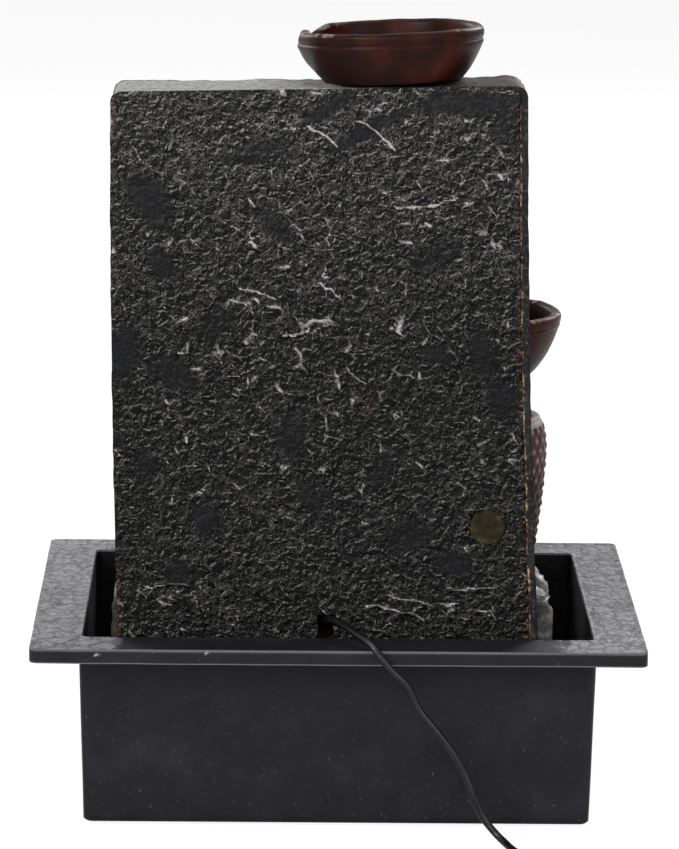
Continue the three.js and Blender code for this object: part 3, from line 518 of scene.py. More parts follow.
# Rubber is dull, with a fine dusty grain.
rubber, tree, shader = new_material("moulded_black_rubber", Roughness=0.85, Specular_IOR_Level=0.35)
where = add_node(tree, "TexCoord").outputs["Object"]
grain = add_node(tree, "TexNoise", {"Vector": where, "Scale": 650.0, "Detail": 4.0})
tone = add_node(tree, "ValToRGB", {"Fac": grain.outputs["Fac"]}, [(0.3, "#121213"), (0.7, "#242425")])
surface = add_node(tree, "Bump", {"Height": grain.outputs["Fac"], "Strength": 0.4, "Distance": 0.0004})
link_shader(tree, shader, Base_Color=tone.outputs["Color"], Normal=surface.outputs["Normal"])
pad_profile = [(0, 0.25), (4.2, 0.25), (4.6, 0), (7.5, 0), (8, 0.4), (8, 1.0), (7.8, 1.2), (0, 1.2)]
PAD_PLACE = (104.8, 68.8)
for number, (side_x, side_y) in enumerate(((-1, -1), (1, -1), (-1, 1), (1, 1)), 1):
    pad = turned(pad_profile, 40, (side_x * PAD_PLACE[0], side_y * PAD_PLACE[1], 0))
    make_piece(
        f"rubber_foot_{number}", pad, rubber, "fountain_base", [f"foot_pad_{number}"],
        sharp=45)

# ---- Rear panel ----
# A thin cast plate bonded into the back of the tower. Stiff filler was dabbed and dragged over it, then
# painted charcoal and dry-brushed; its wrinkles stand out pale, partly from that and partly from painted
# highlights. Smears of filler between them are smooth.

TOWER_BACK = 86
WALL_FRONT = 45.5
TOWER_FOOT = 4.3
TOWER_TOP = 366.2
LEFT = (105, 112.2)
RIGHT = (-103.5, -88)
LEFT_BOW = 0.5
RIGHT_BOW = -3.5
TOP_SLOPE = -0.0215
CORNER = 6
PANEL_INSET = 4.3
SKIN_INSET = 0.5  # the filler is drawn over the joint at the left and the top
ARCH = (-36, 48, 86)
NOTCH = (2, 10, 107)


def side_at(foot, top, bow, height):
    """X of a side at a height: a shallow curve from its foot to its top."""
    t = min(max((height - TOWER_FOOT) / (TOWER_TOP - TOWER_FOOT), 0), 1)
    return (1 - t) ** 2 * foot + 2 * t * (1 - t) * (top + bow) + t * t * top


def tower_edges(x, z):
    """X of the tower's left and right sides at z, and Z of its top at x."""
    return side_at(*LEFT, LEFT_BOW, z), side_at(*RIGHT, RIGHT_BOW, z), TOWER_TOP + TOP_SLOPE * x


def in_outline(u, v, inset, right_inset):
    """The point at u across and v up the tower, each from 0 to 1; its two top corners are round."""
    middle_top = TOWER_TOP - inset
    z = TOWER_FOOT + v * (middle_top - TOWER_FOOT)
    left = side_at(*LEFT, LEFT_BOW, z) - inset
    right = side_at(*RIGHT, RIGHT_BOW, z) + right_inset
    x = right + u * (left - right)
    z = TOWER_FOOT + v * (middle_top + TOP_SLOPE * x - TOWER_FOOT)
    top = middle_top + TOP_SLOPE * x
    for edge, inward in ((left, -1), (right, 1)):
        a = 1 - (x - edge) * inward / CORNER
        b = 1 - (top - z) / CORNER
        if a > 0 and b > 0:
            x = edge + inward * CORNER * (1 - a * math.sqrt(1 - b * b / 2))
            z = top - CORNER * (1 - b * math.sqrt(1 - a * a / 2))
    return x, z


# Smears of smooth filler: centre, half length, half width, turn in degrees, strength.
smears = [
    (93, 311, 17, 10, 55, 0.85), (106, 236, 14, 9, 100, 0.9), (82, 226, 13, 8, 20, 0.6),
    (87, 280, 10, 6, 60, 0.8), (65, 154, 10, 6, 80, 0.9), (78, 127, 8, 6, 10, 0.8),
    (8, 356, 16, 3.4, 148, 1.0), (-8, 344, 19, 4, 148, 1.0), (-25, 353, 12, 3, 150, 0.6),
    (-46, 237, 9, 5, 20, 0.8), (-68, 238, 14, 7, 75, 0.75), (-78, 216, 12, 8, 60, 0.7),
    (-33, 147, 14, 8, 170, 0.7), (-56, 133, 12, 7, 20, 0.7), (-60, 359, 32, 6, 178, 0.85),
    (-78, 350, 14, 9, 90, 0.5), (24, 196, 14, 8, 110, 0.6), (33, 300, 13, 6, 40, 0.5),
    (-45, 285, 14, 6, 160, 0.5), (40, 335, 18, 6, 165, 0.5), (14, 165, 11, 6, 60, 0.6),
    (-20, 180, 12, 5, 120, 0.5), (60, 250, 11, 6, 130, 0.5), (95, 180, 10, 6, 90, 0.5),
]
# Ridges dragged by the trowel's edge: two ends, rise at the middle, half width.
drags = [
    ((-22, 309), (-58, 315), 2.5, 1.0), ((20, 348), (2, 336), -2, 1.0), ((-4, 352), (-26, 334), -2, 0.9),
    ((30, 262), (52, 268), 2, 1.0), ((14, 250), (30, 246), -2, 1.1), ((0, 262), (16, 271), 3, 1.0),
    ((40, 232), (58, 225), -2, 0.8), ((-2, 232), (-14, 222), 2, 0.9), ((70, 121), (98, 118), 2, 0.8),
    ((-20, 118), (-62, 113), 2, 0.9), ((-10, 112), (-45, 104), -1.5, 0.9), ((-50, 121), (-84, 124), 2, 0.8),
]


def smear_at(x, z):
    """How much a smear of smooth filler covers the panel, from 0 to 1."""
    most = 0.0
    for cx, cz, long_half, short_half, turn, strength in smears:
        angle = math.radians(turn)
        dx, dz = x - cx, z - cz
        along = (dx * math.cos(angle) + dz * math.sin(angle)) / long_half
        across = (-dx * math.sin(angle) + dz * math.cos(angle)) / short_half
        ragged = 0.3 * noise.noise(Vector((x / 5, z / 5, 3)))
        most = max(most, strength * (1 - smooth(0.55, 1.15, math.hypot(along, across) + ragged)))
    return most


def drag_at(x, z):
    """How much a dragged ridge stands out, from 0 to 1."""
    most = 0.0
    for (ax, az), (bx, bz), bow, half in drags:
        length = math.hypot(bx - ax, bz - az)
        ux, uz = (bx - ax) / length, (bz - az) / length
        t = ((x - ax) * ux + (z - az) * uz) / length
        if -0.05 < t < 1.05:
            off = (x - ax) * -uz + (z - az) * ux - bow * 4 * t * (1 - t)
            off -= 1.2 * noise.noise(Vector((t * 6, ax, az)))
            if abs(off) < 2.5 * half:
                fade = smooth(-0.05, 0.12, t) * (1 - smooth(0.88, 1.05, t))
                most = max(most, (1 - smooth(0.3, 1.0, abs(off) / (1.3 * half))) * fade)
    return most


def wrinkles(x, z):
    """The panel's height at a place, how far the nearest ridge line is, and how smooth the filler is."""
    flat = Vector((x, z, 0))
    smear = smear_at(x, z)
    low_band = smooth(130, 112, z + 5 * noise.noise(flat / 17))
    middle = 1 - smooth(20, 75, math.hypot((x - 18) * 0.9, (z - 245) * 0.7))
    warp = noise.noise_vector(flat / 6.5)
    bent = flat + warp * 2.2
    shear = Vector((bent.x * 0.8 + bent.y * 0.35 * low_band, bent.y * (1 + 0.35 * low_band), 0))
    coarse = to_border(shear + Vector((40, 0, 0)), 9.5) + 1.8 * smooth(
        0.3, -0.1, noise.noise(flat / 8) + 0.12 * middle + 0.15 * low_band)
    worms = to_border(shear, 4.6) + 1.2 * smooth(0.2, -0.2, noise.noise(flat / 6 + Vector((3, 9, 0))))
    line = min(coarse * (1.1 - 0.25 * middle), 0.22 + worms * 1.2) + 1.2 * smear
    line = min(line, 1.6 * (1 - drag_at(x, z)))
    ridge = 1 - smooth(0.1, 1.3, line)
    swell = 0.9 * noise.noise(flat / 38) + 0.45 * noise.noise(flat / 12)
    fine = noise.noise(flat / 2.1) * (1 - 0.85 * smear)
    height = swell + (0.85 + 0.35 * low_band) * ridge + 0.35 * fine + 0.35 * smear
    return height, line, smear


PANEL_STEP = 0.97
bm = bmesh.new()
across = int((LEFT[1] - RIGHT[1]) / PANEL_STEP)
up = int((TOWER_TOP - TOWER_FOOT) / PANEL_STEP)
bmesh.ops.create_grid(bm, x_segments=across, y_segments=up, size=0.5)
for vert in bm.verts:
    x, z = in_outline(vert.co.x + 0.5, vert.co.y + 0.5, SKIN_INSET, PANEL_INSET)
    vert.co = (x, TOWER_BACK, z)


def in_opening(x, z, margin=0.0):
    """Whether a place lies in the arch at the panel's foot, or in the notch over it."""
    crown = 12
    corner = math.hypot(max(ARCH[0] + crown - x, x - ARCH[1] + crown, 0), max(z - ARCH[2] + crown, 0))
    arch = ARCH[0] - margin < x < ARCH[1] + margin and z < ARCH[2] + margin
    if z > ARCH[2] - crown:
        arch = arch and corner < crown + margin
    return arch or (NOTCH[0] - margin < x < NOTCH[1] + margin and z < NOTCH[2] + margin)


opened = [f for f in bm.faces if in_opening(*f.calc_center_median().xz)]
bmesh.ops.delete(bm, geom=opened, context="FACES")
line_layer = bm.verts.layers.float.new("line")
smear_layer = bm.verts.layers.float.new("smear")
rub_layer = bm.verts.layers.float.new("rub")
# Rubbed places where brown shows through the charcoal: x, z, radius.
rubs = [
    (-18, 256, 5), (-14, 212, 6), (108, 363, 4), (-97, 100, 9), (-91, 121, 4), (20, 268, 4), (-89, 330, 5),
]
for vert in bm.verts:
    x, z = vert.co.x, vert.co.z
    height, line, smear = wrinkles(x, z)
    left_side, right_side, tower_top = tower_edges(x, z)
    right = x - right_side - PANEL_INSET
    left = left_side - SKIN_INSET - x
    top = tower_top - SKIN_INSET - z
    border = min(left, top)
    fall = 1.1 * (1 - smooth(0, 2.2, border + 0.5 * noise.noise(vert.co / 6)))
    vert.co.y = TOWER_BACK - 0.7 + (height - 0.2) * (0.4 + 0.6 * smooth(0, 4, min(border, right))) - fall
    vert[line_layer] = line
    vert[smear_layer] = smear
    rubbed_edge = (1 - smooth(0.5, 3.5, right)) * smooth(-0.25, 0.3, noise.noise(Vector((x / 4, z / 8, 5))))
    rubbed_edge = max(rubbed_edge, (1 - smooth(0.4, 2.2, left)) * max(
        smooth(150, 108, z + 12 * noise.noise(vert.co / 9)), smooth(335, 350, z)))
    spots = max(1 - smooth(0.4, 1.2, math.hypot(x - rx, z - rz) / r) for rx, rz, r in rubs)
    vert[rub_layer] = max(0.5 * spots, rubbed_edge)
edge_loop = [e for e in bm.edges if e.is_boundary]
for drawn, y in ((0, TOWER_BACK - 1.6), (PANEL_INSET - SKIN_INSET, TOWER_BACK - 1.6), (0, TOWER_BACK - 5)):
    edge_loop, fresh = extruded(bm, edge_loop)
    for vert in fresh:
        x, z = vert.co.x, vert.co.z
        left, _, top = tower_edges(x, z)
        if left - x < 3:
            vert.co.x -= drawn
        if top - z < 3:
            vert.co.z -= drawn
        vert.co.y = y
bmesh.ops.holes_fill(bm, edges=[e for e in bm.edges if e.is_boundary], sides=0)
bmesh.ops.recalc_face_normals(bm, faces=bm.faces)

# Charcoal filler under a satin varnish: black pits, warm grey on the ridges and the fine lines that net them,
# partly dry-brushed and partly painted highlight, painted light and shade on the flanks of the folds, and
# bluish, smoother smears. Fine lines about 3 mm apart net the ridges, and the grit between them is 1 mm
# across.
filler, tree, shader = new_material("dabbed_charcoal_filler", Roughness=0.42, Specular_IOR_Level=0.06)
where = add_node(tree, "TexCoord").outputs["Object"]
line_here = add_node(tree, "Attribute", attribute_name="line").outputs["Fac"]
smear_here = add_node(tree, "Attribute", attribute_name="smear").outputs["Fac"]
rub_here = add_node(tree, "Attribute", attribute_name="rub").outputs["Fac"]
grit = add_node(tree, "TexNoise", {"Vector": where, "Scale": 900.0, "Detail": 3.0, "Roughness": 0.6})
gate = add_node(tree, "TexNoise", {"Vector": where, "Scale": 120.0, "Detail": 4.0, "Roughness": 0.6})
ragged = add_node(tree, "Math", {0: grit.outputs["Fac"], 1: 0.5, 2: line_here}, operation="MULTIPLY_ADD")
# Pale paint along the ridge lines is partly dry-brushing and partly a painted highlight.
crest_line = add_node(
    tree, "MapRange", {"Value": ragged.outputs[0], "From Min": 0.32, "From Max": 0.8, "To Min": 1.0,
    "To Max": 0.0})
caught = add_node(
    tree, "MapRange", {"Value": gate.outputs["Fac"], "From Min": 0.36, "From Max": 0.58, "To Min": 0.6,
    "To Max": 1.0})
crest_paint_and_highlight = add_node(
    tree, "Math", {0: crest_line.outputs["Result"], 1: caught.outputs["Result"]}, operation="MULTIPLY")
warp = add_node(tree, "TexNoise", {"Vector": where, "Scale": 190.0, "Detail": 2.0})
warped = add_node(
    tree, "Mix", {0: 0.006, 6: where, 7: warp.outputs["Color"]}, data_type="RGBA", blend_type="ADD")
net = add_node(
    tree, "TexVoronoi", {"Vector": warped.outputs[2], "Scale": 330.0}, feature="DISTANCE_TO_EDGE")
net_line = add_node(
    tree, "MapRange", {"Value": net.outputs["Distance"], "From Min": 0.02, "From Max": 0.17, "To Min": 1.0,
                       "To Max": 0.0})
curl = add_node(tree, "TexNoise", {"Vector": where, "Scale": 215.0, "Detail": 1.0, "Distortion": 0.4})
curl_off = add_node(tree, "Math", {0: curl.outputs["Fac"], 1: 0.5}, operation="SUBTRACT")
curl_near = add_node(tree, "Math", {0: curl_off.outputs[0]}, operation="ABSOLUTE")
curl_line = add_node(
    tree, "MapRange", {"Value": curl_near.outputs[0], "From Min": 0.005, "From Max": 0.05, "To Min": 1.0,
                       "To Max": 0.0})
parting = add_node(tree, "TexNoise", {"Vector": where, "Scale": 250.0, "Detail": 1.0})
kept = add_node(tree, "MapRange", {"Value": parting.outputs["Fac"], "From Min": 0.45, "From Max": 0.52})
parted = add_node(
    tree, "Math", {0: net_line.outputs["Result"], 1: kept.outputs["Result"]}, operation="MULTIPLY")
either = add_node(tree, "Math", {0: parted.outputs[0], 1: curl_line.outputs["Result"]}, operation="MAXIMUM")
gated = add_node(
    tree, "MapRange", {"Value": gate.outputs["Fac"], "From Min": 0.34, "From Max": 0.6, "To Min": 0.25})
fine_line = add_node(tree, "Math", {0: either.outputs[0], 1: gated.outputs["Result"]}, operation="MULTIPLY")
rough_here = add_node(tree, "MapRange", {"Value": smear_here, "To Min": 1.0, "To Max": 0.35})
fine_ridge = add_node(
    tree, "Math", {0: fine_line.outputs[0], 1: rough_here.outputs["Result"]}, operation="MULTIPLY")
fine_weak = add_node(tree, "Math", {0: fine_ridge.outputs[0], 1: 0.5}, operation="MULTIPLY")
# Painted light on the upper flanks of the folds and painted shade on their lower flanks, as if lit from above;
# the folds are 3 to 4 mm across.
folds = {"Scale": 290.0, "Detail": 3.0, "Roughness": 0.6, "Distortion": 0.5}
fold = add_node(tree, "TexNoise", {"Vector": where, **folds})
above = add_node(tree, "Mapping", {"Vector": where, "Location": (0.0003, 0.0, 0.0006)})
fold_above = add_node(tree, "TexNoise", {"Vector": above.outputs["Vector"], **folds})
drop = add_node(tree, "Math", {0: fold.outputs["Fac"], 1: fold_above.outputs["Fac"]}, operation="SUBTRACT")
fold_light_and_shade = add_node(
    tree, "MapRange", {"Value": drop.outputs[0], "From Min": -0.03, "From Max": 0.13, "To Max": 0.66})
fold_light_and_shade_here = add_node(
    tree, "Math", {0: fold_light_and_shade.outputs["Result"], 1: rough_here.outputs["Result"]}, operation="MULTIPLY")
fold_light_and_lines = add_node(tree, "Math", {0: fold_light_and_shade_here.outputs[0], 1: fine_weak.outputs[0]}, operation="MAXIMUM")
# The pale marks gather dry-brushing, painted highlights and the folds' painted light and shade.
brushed_and_highlit = add_node(tree, "Math", {0: crest_paint_and_highlight.outputs[0], 1: fold_light_and_lines.outputs[0]}, operation="MAXIMUM")
axes = add_node(tree, "SeparateXYZ", {"Vector": where})
# The panel is made lighter towards its top.
lighter_upwards = add_node(
    tree, "MapRange", {"Value": axes.outputs["Z"], "From Min": 0.23, "From Max": 0.35, "To Max": 0.13})
raised = add_node(tree, "Math", {0: brushed_and_highlit.outputs[0], 1: lighter_upwards.outputs["Result"]}, operation="ADD")
tone = add_node(
    tree, "ValToRGB", {"Fac": raised.outputs[0]},
    [(0.0, "#040404"), (0.2, "#0c0c0c"), (0.45, "#302f2e"), (0.7, "#62615e"), (1.0, "#a19d94")])
blue = add_node(
    tree, "ValToRGB", {"Fac": gate.outputs["Fac"]}, [(0.3, "#131416"), (0.7, "#232427")])
smear_cover = add_node(tree, "Math", {0: smear_here, 1: 0.5}, operation="MULTIPLY")
colour = add_node(
    tree, "Mix", {0: smear_cover.outputs[0], 6: tone.outputs["Color"], 7: blue.outputs["Color"]},
    data_type="RGBA")
rub_mask = add_node(tree, "Math", {0: rub_here, 1: brushed_and_highlit.outputs[0]}, operation="MULTIPLY")
rub_weak = add_node(tree, "Math", {0: rub_mask.outputs[0], 1: 0.7}, operation="MULTIPLY")
brown = add_node(
    tree, "Mix", {0: rub_weak.outputs[0], 6: colour.outputs[2], 7: linear("#5e4234")}, data_type="RGBA")
folded = add_node(
    tree, "Math", {0: fold.outputs["Fac"], 1: 2.5, 2: fine_ridge.outputs[0]}, operation="MULTIPLY_ADD")
relief = add_node(
    tree, "Math", {0: grit.outputs["Fac"], 1: 0.45, 2: folded.outputs[0]}, operation="MULTIPLY_ADD")
surface = add_node(tree, "Bump", {"Height": relief.outputs[0], "Strength": 1.0, "Distance": 0.0007})
link_shader(tree, shader, Base_Color=brown.outputs[2], Normal=surface.outputs["Normal"])
make_piece("wrinkled_rear_panel", bm, filler, "tower", ["wall_back_panel"])

# ---- Tower shell ----
# The front and sides of the tower are one hollow resin casting of rough split rock, stained dark brown
# and dry-brushed. Its back edge frames the rear panel, and its paint has rubbed off along that edge.


def rock_face(x, z):
    """Depth of the rock relief on the front of the tower, from 0 at its proudest to about 5 millimetres."""
    place = Vector((x, z, 11))
    bent = place + noise.noise_vector(place / 30) * 9
    near = noise.voronoi(Vector((bent.x / 42, bent.y / 17, 2)))
    slab = noise.noise(near[1][0] * 3.7)
    tilt = 0.5 + 0.5 * slab + 0.35 * noise.noise(bent / 16)
    joint = 1 - smooth(0.0, 0.12, near[0][1] - near[0][0])
    grain = noise.fractal(place / 9, 1.0, 2.1, 4)
    return min(max(0.2 + 2.0 * tilt + 2.4 * joint + 0.8 * grain, 0.0), 5.5)


SHELL_STEP = 2.0
LOW_ARCH = 62  # the arch is lower through the shell's front and the back of the ledge
SEAM = TOWER_BACK - 2.2  # the shell's back edge where filler is drawn over it
bm = bmesh.new()
across = int((LEFT[1] - RIGHT[1]) / SHELL_STEP)
up = int((TOWER_TOP - TOWER_FOOT) / SHELL_STEP)
bmesh.ops.create_grid(bm, x_segments=across, y_segments=up, size=0.5)
for vert in bm.verts:
    x, z = in_outline(vert.co.x + 0.5, vert.co.y + 0.5, 0, 0)
    vert.co = (x, WALL_FRONT, z)
front_arch = [
    f for f in bm.faces
    if ARCH[0] < f.calc_center_median().x < ARCH[1] and f.calc_center_median().z < LOW_ARCH]
bmesh.ops.delete(bm, geom=front_arch, context="FACES")
outer = []
for edge in bm.edges:
    x, _, z = edge.verts[0].co
    on_arch = ARCH[0] - 3 < x < ARCH[1] + 3 and z < LOW_ARCH + 4
    if edge.is_boundary and not on_arch:
        outer.append(edge)
rings = int((TOWER_BACK - WALL_FRONT) / SHELL_STEP)
for ring in range(rings):
    outer, fresh = extruded(bm, outer)
    bmesh.ops.translate(bm, vec=(0, (TOWER_BACK - WALL_FRONT) / rings, 0), verts=fresh)
rub_layer = bm.verts.layers.float.new("rub")
stain_layer = bm.verts.layers.float.new("stain")
hollow_shade_layer = bm.verts.layers.float.new("hollow")
top_light_layer = bm.verts.layers.float.new("dust_and_top_light")
centre_x = (LEFT[0] + RIGHT[0]) / 2
for vert in bm.verts:
    x, y, z = vert.co
    left, right, top = tower_edges(x, z)
    border = min(left - x, x - right, top - z)
    # The top face is painted paler grey as light falling from above, more towards +X.
    if top - z < 1.5 and y > WALL_FRONT + 1:
        vert[top_light_layer] = smooth(-30, 20, x)
    on_front = smooth(WALL_FRONT + 8, WALL_FRONT, y)
    if on_front > 0:
        depth = rock_face(x, z)
        vert.co.y += depth * on_front * smooth(-1, 6, border)
        # Deep places in the relief are darkened, partly as dark joints and partly as painted shade.
        vert[hollow_shade_layer] = smooth(1.6, 4.4, depth) * on_front
    if border < 3:
        inward = Vector((centre_x - x, 0, 0)).normalized() if top - z > 3 else Vector((0, 0, -1))
        edge_place = Vector((x * 0.2, y, z)) if top - z > 3 else Vector((x, y, z * 0.2))
        depth = 0.9 + 0.9 * noise.fractal(edge_place / 12, 1.0, 2.0, 3)
        vert.co += inward * max(depth, 0) * (0.45 + 0.55 * smooth(TOWER_BACK, TOWER_BACK - 10, y))
        vert[rub_layer] = smooth(TOWER_BACK - 5, TOWER_BACK, y) * 0.45
    if y > WALL_FRONT + 4 and not (x < RIGHT[1] + 4 and z < TOWER_TOP - 4):
        share = (y - WALL_FRONT - 4) / (TOWER_BACK - WALL_FRONT - 4)
        vert.co.y = WALL_FRONT + 4 + share * (SEAM - WALL_FRONT - 4)
    vert[stain_layer] = smooth(72, 50, y + 8 * noise.noise(Vector((x, y, z)) / 14))
outer, fresh = extruded(bm, outer)


def drawn_in(verts, amount, y=None):
    """Moves vertices on the tower's outline in towards its middle."""
    for vert in verts:
        x, z = vert.co.x, vert.co.z
        left, right, top = tower_edges(x, z)
        if left - x < 3 + amount * 2 and top - z > 1:
            vert.co.x -= amount
        elif x - right < 3 + amount * 2 and top - z > 1:
            vert.co.x += amount
        if top - z < 3 + amount * 2:
            vert.co.z -= amount
        if y is not None:
            vert.co.y = y


drawn_in(fresh, 1.0)
for vert in fresh:
    on_right = vert.co.x < RIGHT[1] + 4 and vert.co.z < TOWER_TOP - 4
    vert.co.y = TOWER_BACK + 0.2 + 0.3 * noise.noise(vert.co / 3.5) if on_right else SEAM
    vert[rub_layer] = 0.1
# The worn edge, then the return into the hollow: how far each is drawn in, its y and its rubbing.
seam_rings = ((1.9, TOWER_BACK + 0.1, 0.5), (0.9, TOWER_BACK - 0.6, 0.95), (0.1, WALL_FRONT + 6, 0.0))
for amount, y, rub in seam_rings:
    outer, fresh = extruded(bm, outer)
    drawn_in(fresh, amount, y)
    for vert in fresh:
        vert[rub_layer] = rub + 0.5 * noise.noise(Vector((amount, vert.co.z / 5, vert.co.x / 5)))
        if vert.co.x > RIGHT[1] + 4 or vert.co.z > TOWER_TOP - 7:
            vert.co.y = min(vert.co.y, SEAM)
bmesh.ops.holes_fill(bm, edges=outer, sides=0)
bmesh.ops.recalc_face_normals(bm, faces=bm.faces)

# Cast resin painted as rock is dull: near-black brown in the hollows, partly as dark joints and partly as
# painted shade, slate at the back of its sides, tan and grey brushed on the high grain, pale grey painted on
# top as light from above, and gold-brown where the back edge has rubbed through.
rock, tree, shader = new_material("painted_rock_resin", Roughness=0.55, Specular_IOR_Level=0.08)
where = add_node(tree, "TexCoord").outputs["Object"]
rub_here = add_node(tree, "Attribute", attribute_name="rub").outputs["Fac"]
mottle = add_node(tree, "TexNoise", {"Vector": where, "Scale": 38.0, "Detail": 7.0, "Roughness": 0.62})
grain = add_node(tree, "TexNoise", {"Vector": where, "Scale": 360.0, "Detail": 6.0, "Roughness": 0.72})
tone = add_node(
    tree, "ValToRGB", {"Fac": mottle.outputs["Fac"]},
    [(0.25, "#1b1819"), (0.45, "#2c2624"), (0.6, "#453b33"), (0.78, "#6b5c4c")])
high = add_node(tree, "MapRange", {"Value": grain.outputs["Fac"], "From Min": 0.52, "From Max": 0.7})
stain_here = add_node(tree, "Attribute", attribute_name="stain").outputs["Fac"]
slate = add_node(
    tree, "ValToRGB", {"Fac": mottle.outputs["Fac"]}, [(0.3, "#0b0a0b"), (0.5, "#171616"),
    (0.72, "#2b2a2a")])
stained = add_node(
    tree, "Mix", {0: stain_here, 6: slate.outputs["Color"], 7: tone.outputs["Color"]}, data_type="RGBA")
dust_and_top_light = add_node(
    tree, "Mix", {0: stain_here, 6: linear("#4d4b4a"), 7: linear("#8a7a66")}, data_type="RGBA")
brush = add_node(
    tree, "Mix", {0: high.outputs["Result"], 6: stained.outputs[2], 7: dust_and_top_light.outputs[2]}, data_type="RGBA")
rub_grain = add_node(tree, "Math", {0: rub_here, 1: grain.outputs["Fac"]}, operation="ADD")
rubbed = add_node(tree, "MapRange", {"Value": rub_grain.outputs[0], "From Min": 1.1, "From Max": 1.6})
flakes = add_node(
    tree, "ValToRGB", {"Fac": grain.outputs["Fac"]},
    [(0.35, "#1c1410"), (0.46, "#4a3222"), (0.56, "#8f7350"), (0.68, "#c9bda0")])
# Near-black brown in the hollows is partly dark joints and partly painted shade.
hollow_shade_here = add_node(tree, "Attribute", attribute_name="hollow").outputs["Fac"]
hollow_shade_cover = add_node(tree, "Math", {0: hollow_shade_here, 1: 0.85}, operation="MULTIPLY")
shaded = add_node(
    tree, "Mix", {0: hollow_shade_cover.outputs[0], 6: brush.outputs[2], 7: linear("#100d0c")}, data_type="RGBA")
# Pale grey painted on the top face stands for light from above.
top_light_here = add_node(tree, "Attribute", attribute_name="dust_and_top_light").outputs["Fac"]
top_light_tone = add_node(
    tree, "ValToRGB", {"Fac": grain.outputs["Fac"]}, [(0.3, "#4c4c4c"), (0.5, "#7c7c7a"), (0.7, "#9a9a97")])
top_lit = add_node(
    tree, "Mix", {0: top_light_here, 6: shaded.outputs[2], 7: top_light_tone.outputs["Color"]}, data_type="RGBA")
colour = add_node(
    tree, "Mix", {0: rubbed.outputs["Result"], 6: top_lit.outputs[2], 7: flakes.outputs["Color"]},
    data_type="RGBA")
surface = add_node(tree, "Bump", {"Height": grain.outputs["Fac"], "Strength": 0.7, "Distance": 0.0009})
link_shader(tree, shader, Base_Color=colour.outputs[2], Normal=surface.outputs["Normal"])
make_piece("rock_wall_shell", bm, rock, "tower", ["wall_front_shell"])

# ---- Rock ledge ----
# The rock at the tower's foot is a hollow resin casting, open below, with two water inlets at its foot and
# an arch in its back. It is stained grey at one end and beige at the other, with painted shade darkening the
# beige end, and bonded to the shell.

LEDGE_TOP = 115
LEDGE_X = (-107.8, 113)
LEDGE_BACK = 45.2
LEDGE_FRONT = -14
URN_CENTRE = (-76, 12.5)
# Front line of the ledge: x, and how far it stands back from its foremost line.
ledge_line = [(-107.8, 22), (-94, 6), (-46, 0), (-12, 9), (31.4, 3), (95.4, 8), (113, 26)]


def ledge_front(x):
    """Y of the ledge's front at x."""
    for (x0, y0), (x1, y1) in zip(ledge_line, ledge_line[1:]):
        if x <= x1:
            return LEDGE_FRONT + y0 + (y1 - y0) * (x - x0) / (x1 - x0)
    return LEDGE_FRONT + ledge_line[-1][1]


def boulder(point):
    """How far the ledge's rock face is cut back, in millimetres."""
    bent = point + noise.noise_vector(point / 22) * 7
    near = noise.voronoi(Vector((bent.x / 30, bent.y / 26, bent.z / 19)))
    joint = 1 - smooth(0, 0.16, near[0][1] - near[0][0])
    slab = noise.noise(near[1][0] * 5.1)
    grain = noise.fractal(point / 8, 1.0, 2.1, 4)
    return min(max(1.1 + 1.3 * slab + 2.2 * joint + 0.7 * grain, 0.0), 5.0)


bm = bmesh.new()
bmesh.ops.create_cube(bm, size=1)
for axis, cuts in ((0, 110), (1, 30), (2, 56)):
    bars = [e for e in bm.edges if abs(abs(e.verts[0].co[axis] - e.verts[1].co[axis]) - 1) < 0.01]
    bmesh.ops.subdivide_edges(bm, edges=bars, cuts=cuts, use_grid_fill=True)
below = [f for f in bm.faces if f.calc_center_median().z < -0.499]
bmesh.ops.delete(bm, geom=below, context="FACES")
for vert in bm.verts:
    u, v, w = vert.co + Vector((0.5, 0.5, 0.5))
    x = LEDGE_X[0] + u * (LEDGE_X[1] - LEDGE_X[0])
    front = ledge_front(x)
    y = front + v * (LEDGE_BACK - front)
    side = 1 if x > 0 else -1
    edge_x = LEDGE_X[1] - x if x > 0 else x - LEDGE_X[0]
    seat = 1 - smooth(22, 32, math.hypot(x - URN_CENTRE[0], y - URN_CENTRE[1]))
    slope = 6 * smooth(22, 4, edge_x) * smooth(4, 30, y) * (1 - seat)
    z = TOWER_FOOT + w * (LEDGE_TOP - slope - TOWER_FOOT)
    shoulder = smooth(LEDGE_TOP - slope - 9, LEDGE_TOP - slope, z) * 5
    place = Vector((x, y, z))
    cut_back = boulder(place) * smooth(0, 26, LEDGE_BACK - y + 13)
    sunk = (cut_back * 0.9 + 1.5 * smooth(9, 0, y - front) + 1.5 * smooth(8, 0, edge_x)) * (1 - seat)
    y += (cut_back + shoulder) * (1 - v) ** 3
    x -= side * (0.7 * cut_back + shoulder * 0.7) * abs(2 * u - 1) ** 6
    z -= sunk * w ** 12
    if v > 0.999:
        y -= 0.8 + 0.8 * noise.fractal(place / 7, 1.0, 2.0, 3)
    vert.co = (x, y, z)
INLET_X = (-60, 70)
inlets = [
    f for f in bm.faces
    if min(abs(f.calc_center_median().x - x) for x in INLET_X) < 14
    and f.calc_center_median().z < 18 and f.calc_center_median().y < 0]
rear_arch = [
    f for f in bm.faces
    if ARCH[0] < f.calc_center_median().x < ARCH[1] and f.calc_center_median().z < LOW_ARCH
    and f.calc_center_median().y > LEDGE_BACK - 4]
bmesh.ops.delete(bm, geom=inlets + rear_arch, context="FACES")
bmesh.ops.recalc_face_normals(bm, faces=bm.faces)

